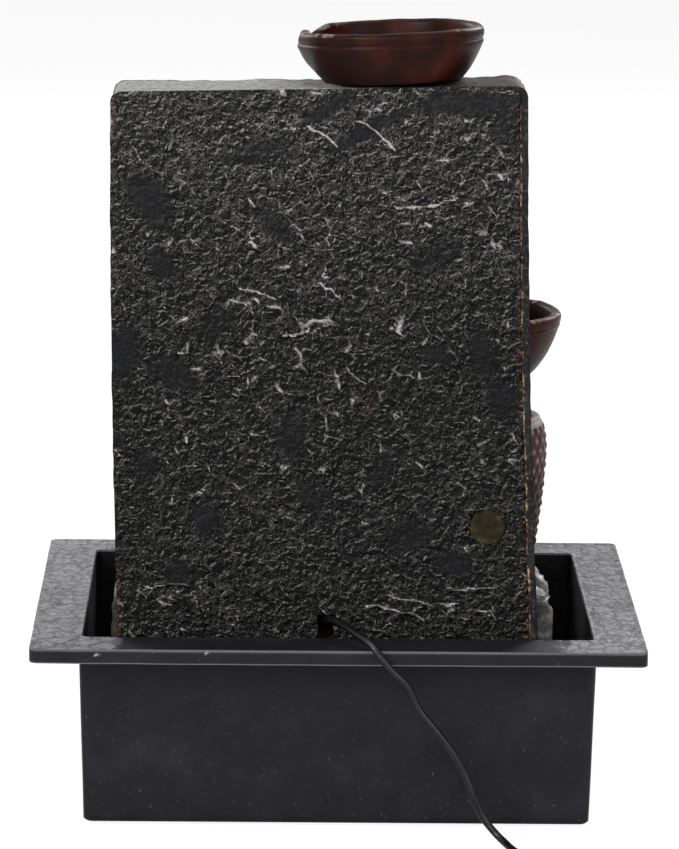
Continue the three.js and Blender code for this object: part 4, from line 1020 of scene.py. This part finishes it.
# Painted stone that water runs over has a thin, uneven gloss, and it is dark low down.
stones, tree, shader = new_material(
    "painted_wet_stone_resin", Specular_IOR_Level=0.25, Coat_Weight=0.12, Coat_Roughness=0.2)
where = add_node(tree, "TexCoord").outputs["Object"]
axes = add_node(tree, "SeparateXYZ", {"Vector": where})
mottle = add_node(tree, "TexNoise", {"Vector": where, "Scale": 90.0, "Detail": 8.0, "Roughness": 0.7})
grain = add_node(tree, "TexNoise", {"Vector": where, "Scale": 420.0, "Detail": 5.0, "Roughness": 0.7})
# The beige end is painted darker than its own colour, as shade.
shaded_beige = add_node(
    tree, "ValToRGB", {"Fac": mottle.outputs["Fac"]},
    [(0.3, "#0c0a09"), (0.45, "#211c18"), (0.56, "#433a31"), (0.72, "#7d705d")])
greys = add_node(
    tree, "ValToRGB", {"Fac": mottle.outputs["Fac"]},
    [(0.3, "#131314"), (0.45, "#313132"), (0.56, "#5f5e5d"), (0.72, "#a09e9a")])
to_left = add_node(tree, "MapRange", {"Value": axes.outputs["X"], "From Min": -0.05, "From Max": 0.06})
stone_tone = add_node(
    tree, "Mix", {0: to_left.outputs["Result"], 6: greys.outputs["Color"], 7: shaded_beige.outputs["Color"]},
    data_type="RGBA")
low = add_node(tree, "MapRange", {"Value": axes.outputs["Z"], "From Max": 0.05, "To Min": 0.75,
                                  "To Max": 0.0})
colour = add_node(
    tree, "Mix", {0: low.outputs["Result"], 6: stone_tone.outputs[2], 7: linear("#191817")},
    data_type="RGBA")
gloss = add_node(tree, "MapRange", {"Value": grain.outputs["Fac"], "From Min": 0.35, "From Max": 0.65,
                                    "To Min": 0.35, "To Max": 0.65})
surface = add_node(tree, "Bump", {"Height": grain.outputs["Fac"], "Strength": 0.8, "Distance": 0.0012})
link_shader(
    tree, shader, Base_Color=colour.outputs[2], Roughness=gloss.outputs["Result"],
    Normal=surface.outputs["Normal"])
ledge = make_piece("rock_ledge", bm, stones, "tower", ["rock_base"])
skin = ledge.modifiers.new("wall", "SOLIDIFY")
skin.thickness = 4 * MM
skin.offset = -1

# ---- Bowls ----
# Four bowls are cast in resin as thrown stoneware and glazed oxblood brown. Each has a rolled rim over a
# groove and a pouring lip. The top bowl lies over the water riser, the others are bonded to the rock.

bowl_sizes = {
    "top_bowl": dict(rim=44.7, height=25.2, foot=33.7, place=(-23, 52.5, 391), tilt=(3.6, 2.8), spout=335),
    "upper_bowl": dict(rim=38, height=33, foot=17, place=(52, 10.7, 318.2), tilt=(0, 0), spout=215),
    "middle_bowl": dict(rim=40.6, height=39, foot=17, place=(-70.2, 8.1, 244.9), tilt=(0, 0), spout=320),
    "lower_bowl": dict(rim=38, height=33, foot=17, place=(48, 10.7, 176), tilt=(0, 0), spout=225),
}
BOWL_STEPS = 96


def curve_between(start, control, end, count):
    """Points along a bent stretch of a profile, without its first point."""
    points = []
    for i in range(1, count + 1):
        t = i / count
        points.append(tuple(
            (1 - t) ** 2 * a + 2 * t * (1 - t) * b + t * t * c for a, b, c in zip(start, control, end)))
    return points


def bowl_profile(rim, height, foot, top):
    """A bowl's section from the middle of its foot, out over the rim and in to the middle of its floor."""
    if top:
        profile = [(0, 0), (foot - 2, 0), (foot, 0.6)]
        profile += curve_between((foot, 0.6), (foot + 1.4, 2.2), (foot + 3.0, 4.0), 4)
        profile += curve_between((foot + 3.0, 4.0), (rim - 4.2, 9), (rim - 0.4, height - 7.6), 8)
    else:
        profile = [(0, 0), (foot - 1, 0), (foot, 0.8)]
        profile += curve_between((foot, 0.8), (foot + 0.6, 2.0), (foot + 1.2, 3.2), 3)
        profile += curve_between((foot + 1.2, 3.2), (rim - 9, 6.5), (rim - 1.0, height - 7.6), 10)
    profile += [(rim - 0.5, height - 6.4), (rim - 0.9, height - 6.0), (rim - 0.9, height - 5.6),
                (rim - 0.4, height - 5.2)]
    profile += curve_between((rim - 0.4, height - 5.2), (rim + 0.1, height - 3.6), (rim, height - 2.0), 4)
    profile += curve_between((rim, height - 2.2), (rim - 0.2, height - 0.1), (rim - 2.2, height), 5)
    profile += curve_between((rim - 2.2, height), (rim - 4.8, height), (rim - 5.2, height - 2.0), 5)
    profile += curve_between((rim - 5.2, height - 2.0), (rim - 6.5, 7), (foot - 4, 5), 10)
    return profile + [(0, 5)]


def bowl_mesh(name, rim, height, foot, place, tilt, spout):
    """A thrown bowl with its pouring lip, its uneven walls and its pale rim marks, partly wear and partly
    painted highlight, in its place.
    """
    bm = turned(bowl_profile(rim, height, foot, name == "top_bowl"), BOWL_STEPS)
    wear = bm.verts.layers.float.new("wear")
    lip = math.radians(spout)
    seed = Vector((place[0], place[2], 0))
    for vert in bm.verts:
        reach = vert.co.xy.length
        if reach < 0.01:
            continue
        out = Vector((vert.co.x, vert.co.y, 0)) / reach
        angle = math.atan2(out.y, out.x)
        turn = abs((angle - lip + math.pi) % (2 * math.pi) - math.pi)
        at_rim = smooth(height - 9, height - 2, vert.co.z)
        pour = math.exp(-(turn / 0.17) ** 2) * at_rim * smooth(rim - 14, rim - 6, reach)
        shoulders = math.exp(-((turn - 0.34) / 0.14) ** 2) * at_rim * smooth(rim - 14, rim - 6, reach)
        vert.co.z -= 5.2 * pour
        vert.co += out * (1.2 * pour - 0.3 * shoulders)
        vert.co.z += 0.5 * shoulders
        if name == "top_bowl":
            under_lip = math.exp(-((turn - 0.1) / 0.4) ** 2) * smooth(3, 11, vert.co.z)
            under_lip *= smooth(rim - 16, rim - 4, reach) * smooth(height, height - 7, vert.co.z)
            vert.co += out * 2.6 * under_lip
        uneven = noise.noise(out * 2.2 + seed) * 0.7 + noise.noise(out * 6 + seed) * 0.25
        vert.co += out * uneven * 0.5 * smooth(2, 10, vert.co.z)
        vert.co.z += uneven * 0.45 * at_rim + 0.12 * noise.noise(vert.co / 7)
        if name == "top_bowl":
            vert.co.z += 1.7 * at_rim * smooth(0.1, -0.9, out.y)
        # Pale marks on the rim tops are partly wear and partly a painted highlight.
        top_line = smooth(height - 3.2, height - 0.6, vert.co.z) * smooth(rim - 7, rim - 4.5, reach)
        patchy = noise.fractal(out * 5 + seed * 0.7, 1.0, 2.0, 3)
        vert[wear] = top_line * smooth(-0.1, 0.5, patchy + 0.8 * pour + 0.3 * shoulders)
        if name == "top_bowl":
            # The top bowl's pouring lip is paler, partly wear and partly a painted highlight.
            rubbed_lip = math.exp(-(turn / 0.5) ** 2) * smooth(4, 12, vert.co.z)
            rubbed_lip *= smooth(rim - 8, rim - 3, reach)
            vert[wear] = max(vert[wear], 0.75 * rubbed_lip * smooth(-0.2, 0.4, noise.noise(vert.co / 4)))
    bmesh.ops.translate(bm, vec=(0, 0, -height), verts=bm.verts)
    lean = Euler((math.radians(tilt[0]), math.radians(tilt[1]), 0)).to_matrix()
    bmesh.ops.rotate(bm, cent=(0, 0, 0), matrix=lean, verts=bm.verts)
    bmesh.ops.translate(bm, vec=place, verts=bm.verts)
    return bm


# Oxblood glaze is a deep chocolate red that clouds from nearly black to brown, with a soft shine. Along the
# tops of the rims it is pale clay in chips about 2.5 mm across, partly wear and partly painted highlight.
glaze, tree, shader = new_material(
    "oxblood_glaze", Coat_Weight=0.02, Coat_Roughness=0.25, Specular_IOR_Level=0.05)
where = add_node(tree, "TexCoord").outputs["Object"]
wear_and_highlight_here = add_node(tree, "Attribute", attribute_name="wear").outputs["Fac"]
run = add_node(tree, "Mapping", {"Vector": where, "Scale": (1.0, 1.0, 0.6)})
flow = add_node(
    tree, "TexNoise", {"Vector": run.outputs["Vector"], "Scale": 55.0, "Detail": 5.0, "Roughness": 0.55})
tone = add_node(
    tree, "ValToRGB", {"Fac": flow.outputs["Fac"]},
    [(0.28, "#130805"), (0.45, "#1c0b08"), (0.6, "#2c110b"), (0.8, "#431a12")])
chips = add_node(tree, "TexNoise", {"Vector": where, "Scale": 380.0, "Detail": 5.0, "Roughness": 0.7})
wear_and_highlight_sum = add_node(tree, "Math", {0: wear_and_highlight_here, 1: chips.outputs["Fac"]}, operation="ADD")
bare_and_highlit = add_node(tree, "MapRange", {"Value": wear_and_highlight_sum.outputs[0], "From Min": 1.15, "From Max": 1.75})
clay = add_node(
    tree, "ValToRGB", {"Fac": chips.outputs["Fac"]}, [(0.3, "#5a4a45"), (0.6, "#8f7f77"), (0.8, "#b8aaa1")])
colour = add_node(
    tree, "Mix", {0: bare_and_highlit.outputs["Result"], 6: tone.outputs["Color"], 7: clay.outputs["Color"]},
    data_type="RGBA")
gloss = add_node(
    tree, "MapRange", {"Value": flow.outputs["Fac"], "From Min": 0.3, "From Max": 0.7, "To Min": 0.34,
    "To Max": 0.5})
surface = add_node(tree, "Bump", {"Height": flow.outputs["Fac"], "Strength": 0.25, "Distance": 0.001})
surface = add_node(
    tree, "Bump", {"Height": chips.outputs["Fac"], "Strength": 0.15, "Distance": 0.0004,
                   "Normal": surface.outputs["Normal"]})
link_shader(
    tree, shader, Base_Color=colour.outputs[2], Roughness=gloss.outputs["Result"],
    Normal=surface.outputs["Normal"])

for name, sizes in bowl_sizes.items():
    bm = bowl_mesh(name, **sizes)
    if name != "top_bowl":
        everything = bm.verts[:] + bm.edges[:] + bm.faces[:]
        trimmed = bmesh.ops.bisect_plane(
            bm, geom=everything, plane_co=(0, LEDGE_BACK, 0), plane_no=(0, 1, 0), clear_outer=True)["geom_cut"]
        bmesh.ops.edgenet_fill(bm, edges=[e for e in trimmed if isinstance(e, bmesh.types.BMEdge)])
    make_piece("glazed_" + name, bm, glaze, "tower", [name], sharp=60)

# ---- Corbel stones ----
# Rough stones cast of the same resin as the shell and painted with it. They stand out of the rock wall and
# carry the three front bowls, which are bonded to them.

for name in ("upper_bowl", "middle_bowl", "lower_bowl"):
    x, y, z = bowl_sizes[name]["place"]
    seat = z - bowl_sizes[name]["height"] - 0.3
    bm = bmesh.new()
    bmesh.ops.create_icosphere(bm, subdivisions=5, radius=1)
    for vert in bm.verts:
        low = smooth(0.2, -1, vert.co.z)
        point = Vector((
            x + vert.co.x * 21 * (1 - 0.35 * low),
            47 + min(vert.co.y, 0.35) * 33 * (1 - 0.5 * low),
            seat - 6 + vert.co.z * 12))
        point += vert.normal * 1.8 * noise.fractal(point / 10, 1.0, 2.0, 4)
        point.z = min(point.z, seat) if point.z > seat - 0.6 else point.z
        vert.co = point
    make_piece(name.replace("bowl", "corbel"), bm, rock, "tower")

# ---- Urn ----
# A tall jar on the ledge, cast in resin with rows of beads and coloured as a reddish brown glaze. Its foot is
# bonded to the rock.

URN_FOOT = 115.3
urn_profile = [(0, 0), (20.5, 0), (22, 0.8)]
urn_profile += curve_between((22, 0.8), (27.4, 30), (28.6, 60), 42)
urn_profile += curve_between((28.6, 60), (28.4, 71), (25.4, 75), 12)
urn_profile += [(24.6, 75.6), (24.8, 76.6), (24.0, 77), (22.0, 77), (21.4, 76.2), (21.4, 71), (24.6, 60)]
urn_profile += curve_between((24.6, 60), (23.4, 30), (19, 6), 8) + [(0, 4)]
bm = turned(urn_profile, 180)
wear = bm.verts.layers.float.new("wear")
BEAD_ROWS = 15
BEADS_AROUND = 30
for vert in bm.verts:
    reach = vert.co.xy.length
    z = vert.co.z
    if reach < 1 or (z > 5 and reach < 19):
        continue
    outside = reach > 21.2 + 0.1 * z * 0.5 if z < 72 else reach > 23.5
    out = Vector((vert.co.x, vert.co.y, 0)) / reach
    if outside and 2 < z < 73:
        row = z / 74 * BEAD_ROWS
        offset = 0.5 * (int(row) % 2)
        around = (math.atan2(out.y, out.x) / (2 * math.pi) + 0.5) * BEADS_AROUND + offset
        du, dv = (around % 1) - 0.5, (row % 1) - 0.5
        bead = 1 - smooth(0.12, 0.5, math.hypot(du, dv))
        vert.co += out * (0.9 * bead - 0.55)
        # The beads are made paler higher up.
        vert[wear] = bead * smooth(18, 60, z + 10 * noise.noise(vert.co / 9)) * 0.75
    elif z >= 73:
        # The whole lip is painted pale as a highlight.
        vert[wear] = 1.0
    vert.co += out * 0.25 * noise.noise(vert.co / 6)
bmesh.ops.translate(bm, vec=(*URN_CENTRE, URN_FOOT), verts=bm.verts)

# The glaze is dark at the foot and redder above. It is pale mauve on the beads, more so higher up, and pale
# mauve all over the lip as a painted highlight.
urn_glaze, tree, shader = new_material("beaded_urn_glaze", Roughness=0.45, Specular_IOR_Level=0.08)
where = add_node(tree, "TexCoord").outputs["Object"]
axes = add_node(tree, "SeparateXYZ", {"Vector": where})
wear_and_highlight_here = add_node(tree, "Attribute", attribute_name="wear").outputs["Fac"]
flow = add_node(tree, "TexNoise", {"Vector": where, "Scale": 60.0, "Detail": 5.0})
rise = add_node(tree, "MapRange", {"Value": axes.outputs["Z"], "From Min": 0.13, "From Max": 0.185})
patchy = add_node(tree, "Math", {0: rise.outputs["Result"], 1: flow.outputs["Fac"]}, operation="MULTIPLY")
tone = add_node(
    tree, "ValToRGB", {"Fac": patchy.outputs[0]}, [(0.0, "#0e0a0b"), (0.25, "#221314"), (0.6, "#472a2c")])
chips = add_node(tree, "TexNoise", {"Vector": where, "Scale": 500.0, "Detail": 5.0, "Roughness": 0.7})
wear_and_highlight_sum = add_node(tree, "Math", {0: wear_and_highlight_here, 1: chips.outputs["Fac"]}, operation="ADD")
bare_and_highlit = add_node(tree, "MapRange", {"Value": wear_and_highlight_sum.outputs[0], "From Min": 0.8, "From Max": 1.4})
colour = add_node(
    tree, "Mix", {0: bare_and_highlit.outputs["Result"], 6: tone.outputs["Color"], 7: linear("#7d6f72")},
    data_type="RGBA")
surface = add_node(tree, "Bump", {"Height": chips.outputs["Fac"], "Strength": 0.4, "Distance": 0.0006})
link_shader(tree, shader, Base_Color=colour.outputs[2], Normal=surface.outputs["Normal"])
make_piece("beaded_urn", bm, urn_glaze, "tower", ["urn"])

# ---- Round sticker ----
# A blank round label of olive gold foil with a slightly raised edge. It is stuck low on the rear panel.
# It carries no print.

STICKER = (-71.8, 86.75, 151.7)
bm = bmesh.new()
bmesh.ops.create_circle(bm, cap_ends=True, cap_tris=False, radius=8.4, segments=72)
for inset, lift in ((0.5, 0.12), (0.5, -0.08), (3.2, 0.02)):
    face = max(bm.faces, key=lambda f: len(f.verts))
    bmesh.ops.inset_region(bm, faces=[face], thickness=inset, depth=lift, use_even_offset=True)
skirt = extruded(bm, [e for e in bm.edges if e.is_boundary])[1]
bmesh.ops.translate(bm, vec=(0, 0, -0.3), verts=skirt)
bmesh.ops.holes_fill(bm, edges=[e for e in bm.edges if e.is_boundary], sides=0)
bmesh.ops.recalc_face_normals(bm, faces=bm.faces)
bmesh.ops.rotate(bm, cent=(0, 0, 0), matrix=Matrix.Rotation(math.radians(-90), 3, "X"), verts=bm.verts)
bmesh.ops.translate(bm, vec=STICKER, verts=bm.verts)
# Dull, crinkled foil has a weak metal shine and darker creases.
foil, tree, shader = new_material("brushed_gold_foil", Metallic=0.3, Roughness=0.4, Specular_IOR_Level=0.1)
where = add_node(tree, "TexCoord").outputs["Object"]
crinkle = add_node(tree, "TexNoise", {"Vector": where, "Scale": 260.0, "Detail": 4.0})
tone = add_node(
    tree, "ValToRGB", {"Fac": crinkle.outputs["Fac"]}, [(0.3, "#14110a"), (0.55, "#231f0f"),
    (0.8, "#463e1d")])
surface = add_node(tree, "Bump", {"Height": crinkle.outputs["Fac"], "Strength": 0.5, "Distance": 0.0006})
link_shader(tree, shader, Base_Color=tone.outputs["Color"], Normal=surface.outputs["Normal"])
make_piece("blank_label", bm, foil, "tower", ["round_sticker"], sharp=40)

# ---- Pump, hose and riser ----
# Under the tower a small submersible pump stands on suction cups: black moulded polypropylene, a laminated
# core with a copper coil, a plastic rotor on a ceramic shaft, and a clear vinyl hose up to the top bowl.

# Polypropylene is a satin black, with smudges that change its gloss.
moulded_black, tree, shader = new_material("moulded_black_polypropylene", Specular_IOR_Level=0.45)
where = add_node(tree, "TexCoord").outputs["Object"]
spark = add_node(tree, "TexNoise", {"Vector": where, "Scale": 1100.0, "Detail": 3.0})
smudge = add_node(tree, "TexNoise", {"Vector": where, "Scale": 60.0, "Detail": 4.0})
tone = add_node(tree, "ValToRGB", {"Fac": smudge.outputs["Fac"]}, [(0.3, "#141517"), (0.75, "#232427")])
gloss = add_node(tree, "MapRange", {"Value": smudge.outputs["Fac"], "From Min": 0.3, "From Max": 0.7,
                                    "To Min": 0.35, "To Max": 0.55})
surface = add_node(tree, "Bump", {"Height": spark.outputs["Fac"], "Strength": 0.3, "Distance": 0.0002})
link_shader(
    tree, shader, Base_Color=tone.outputs["Color"], Roughness=gloss.outputs["Result"],
    Normal=surface.outputs["Normal"])

# The dial is a clean, satin blue.
dial_plastic, tree, shader = new_material("moulded_blue_abs", Roughness=0.4, Specular_IOR_Level=0.5)
where = add_node(tree, "TexCoord").outputs["Object"]
smudge = add_node(tree, "TexNoise", {"Vector": where, "Scale": 300.0, "Detail": 3.0})
tone = add_node(tree, "ValToRGB", {"Fac": smudge.outputs["Fac"]}, [(0.3, "#2f5f96"), (0.7, "#3f76b0")])
link_shader(tree, shader, Base_Color=tone.outputs["Color"])

# Stacked steel sheets are a grey metal with fine dark seams, drawn coarser than real ones so that they show.
core_steel, tree, shader = new_material("laminated_core_steel", Metallic=1.0, Roughness=0.42)
where = add_node(tree, "TexCoord").outputs["Object"]
sheets = add_node(
    tree, "TexWave", {"Vector": where, "Scale": 320.0, "Distortion": 0.2}, bands_direction="Y")
tone = add_node(tree, "ValToRGB", {"Fac": sheets.outputs["Fac"]}, [(0.1, "#3c3e40"), (0.4, "#8b8d90")])
surface = add_node(tree, "Bump", {"Height": sheets.outputs["Fac"], "Strength": 0.4, "Distance": 0.0003})
link_shader(tree, shader, Base_Color=tone.outputs["Color"], Normal=surface.outputs["Normal"])

# Enamelled wire is a dark orange metal, ridged by its turns, which are drawn coarser too.
copper, tree, shader = new_material("enamelled_copper_wire", Metallic=0.9, Roughness=0.3)
where = add_node(tree, "TexCoord").outputs["Object"]
turns = add_node(tree, "TexWave", {"Vector": where, "Scale": 500.0, "Distortion": 0.4}, bands_direction="Z")
tone = add_node(tree, "ValToRGB", {"Fac": turns.outputs["Fac"]}, [(0.1, "#4a1f0d"), (0.6, "#b4652f")])
surface = add_node(tree, "Bump", {"Height": turns.outputs["Fac"], "Strength": 0.6, "Distance": 0.0003})
link_shader(tree, shader, Base_Color=tone.outputs["Color"], Normal=surface.outputs["Normal"])

# Ground ceramic is cream and smooth.
ceramic, tree, shader = new_material("ground_ceramic", Roughness=0.2, Specular_IOR_Level=0.6)
where = add_node(tree, "TexCoord").outputs["Object"]
grinding = add_node(tree, "TexNoise", {"Vector": where, "Scale": 1500.0, "Detail": 2.0})
tone = add_node(tree, "ValToRGB", {"Fac": grinding.outputs["Fac"]}, [(0.3, "#d8d5cc"), (0.7, "#efede6")])
link_shader(tree, shader, Base_Color=tone.outputs["Color"])

# Clear vinyl is glossy and slightly clouded.
hose_vinyl, tree, shader = new_material(
    "clear_vinyl_hose", Roughness=0.18, IOR=1.5, Transmission_Weight=0.7, Specular_IOR_Level=0.5)
where = add_node(tree, "TexCoord").outputs["Object"]
cloud = add_node(tree, "TexNoise", {"Vector": where, "Scale": 120.0, "Detail": 3.0})
tone = add_node(tree, "ValToRGB", {"Fac": cloud.outputs["Fac"]}, [(0.3, "#a9b7b3"), (0.7, "#c8d4d0")])
link_shader(tree, shader, Base_Color=tone.outputs["Color"])

node_finishes = {
    moulded_black: ["pump_housing", "pump_end_cap", "volute_cover", "outlet_nozzle", "riser_nozzle",
                    "strainer_cover", "impeller"],
    rubber: ["suction_cup_1", "suction_cup_2", "suction_cup_3", "suction_cup_4", "cable_gland", "front_bush",
             "rear_bush"],
    dial_plastic: ["flow_dial"],
    core_steel: ["stator_core"],
    copper: ["stator_coil"],
    ceramic: ["rotor_shaft"],
    hose_vinyl: ["supply_hose"],
    cord_vinyl: ["pump_lead"],
}
for material, names in node_finishes.items():
    for name in names:
        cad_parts[name].material_slots[0].material = material

# ---- Floor, backdrop and light ----
# A plain pale table that reads white to the camera but keeps the fountain's shadow, a white room to mirror,
# and soft lamps from above left, from the front and from behind.

# Matt white paper; the camera sees most of it as plain white light, under a soft shadow.
paper, tree, shader = new_material(
    "white_paper", Base_Color=linear("#e9e9e9"), Roughness=0.9, Specular_IOR_Level=0.1)
output = tree.nodes["Material Output"]
path = add_node(tree, "LightPath")
seen = add_node(tree, "Math", {0: path.outputs["Is Camera Ray"], 1: 0.82}, operation="MULTIPLY")
white = add_node(tree, "Emission", {"Color": (1, 1, 1, 1), "Strength": 1.08})
mixed = add_node(tree, "MixShader", {0: seen.outputs[0], 1: shader.outputs[0], 2: white.outputs[0]})
tree.links.new(mixed.outputs[0], output.inputs["Surface"])
bm = bmesh.new()
bmesh.ops.create_grid(bm, x_segments=1, y_segments=1, size=6)
floor_mesh = bpy.data.meshes.new("floor")
bm.to_mesh(floor_mesh)
bm.free()
floor_mesh.materials.append(paper)
floor = bpy.data.objects.new("floor", floor_mesh)
scene.collection.objects.link(floor)
floor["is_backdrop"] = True

world = bpy.data.worlds.new("studio")
scene.world = world
world.use_nodes = True
tree = world.node_tree
background = tree.nodes["Background"]
path = add_node(tree, "LightPath")
mirror = add_node(tree, "Math", {0: path.outputs["Is Camera Ray"], 1: path.outputs["Is Glossy Ray"]},
                  operation="ADD")
clear = add_node(
    tree, "Math", {0: mirror.outputs[0], 1: path.outputs["Is Transmission Ray"]}, operation="ADD",
    use_clamp=True)
strength = add_node(tree, "MapRange", {"Value": clear.outputs[0], "To Min": 0.28, "To Max": 1.0})
background.inputs["Color"].default_value = (1, 1, 1, 1)
tree.links.new(strength.outputs["Result"], background.inputs["Strength"])

# Soft boxes: name, place, the point it faces, width and height in metres, watts.
lamps = [
    ("key_box", (1.3, 1.5, 1.35), (0, 0.05, 0.2), 0.7, 0.7, 42.0),
    ("fill_box", (-1.5, 1.6, 0.8), (0, 0.05, 0.2), 0.8, 1.0, 14.0),
    ("camera_box", (0.2, 2.6, 1.1), (0, 0.05, 0.2), 1.2, 0.8, 22.0),
    ("top_box", (-0.3, 0.1, 1.7), (0, 0.05, 0.2), 0.9, 0.9, 9.0),
    ("front_key", (-1.2, -1.6, 1.3), (0, 0, 0.2), 0.8, 0.8, 42.0),
    ("front_fill", (1.3, -1.7, 0.9), (0, 0, 0.2), 1.0, 0.8, 18.0),
]
for name, place, target, width, height, watts in lamps:
    lamp = bpy.data.lights.new(name, "AREA")
    lamp.shape = "RECTANGLE"
    lamp.size = width
    lamp.size_y = height
    lamp.energy = watts
    box = bpy.data.objects.new(name, lamp)
    box.location = place
    box.rotation_euler = (Vector(target) - Vector(place)).to_track_quat("-Z", "Y").to_euler()
    scene.collection.objects.link(box)
scene.view_settings.view_transform = "Standard"

sizes = {"cad": [list(corner) for corner in cad_box], "visual": [list(corner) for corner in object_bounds()]}
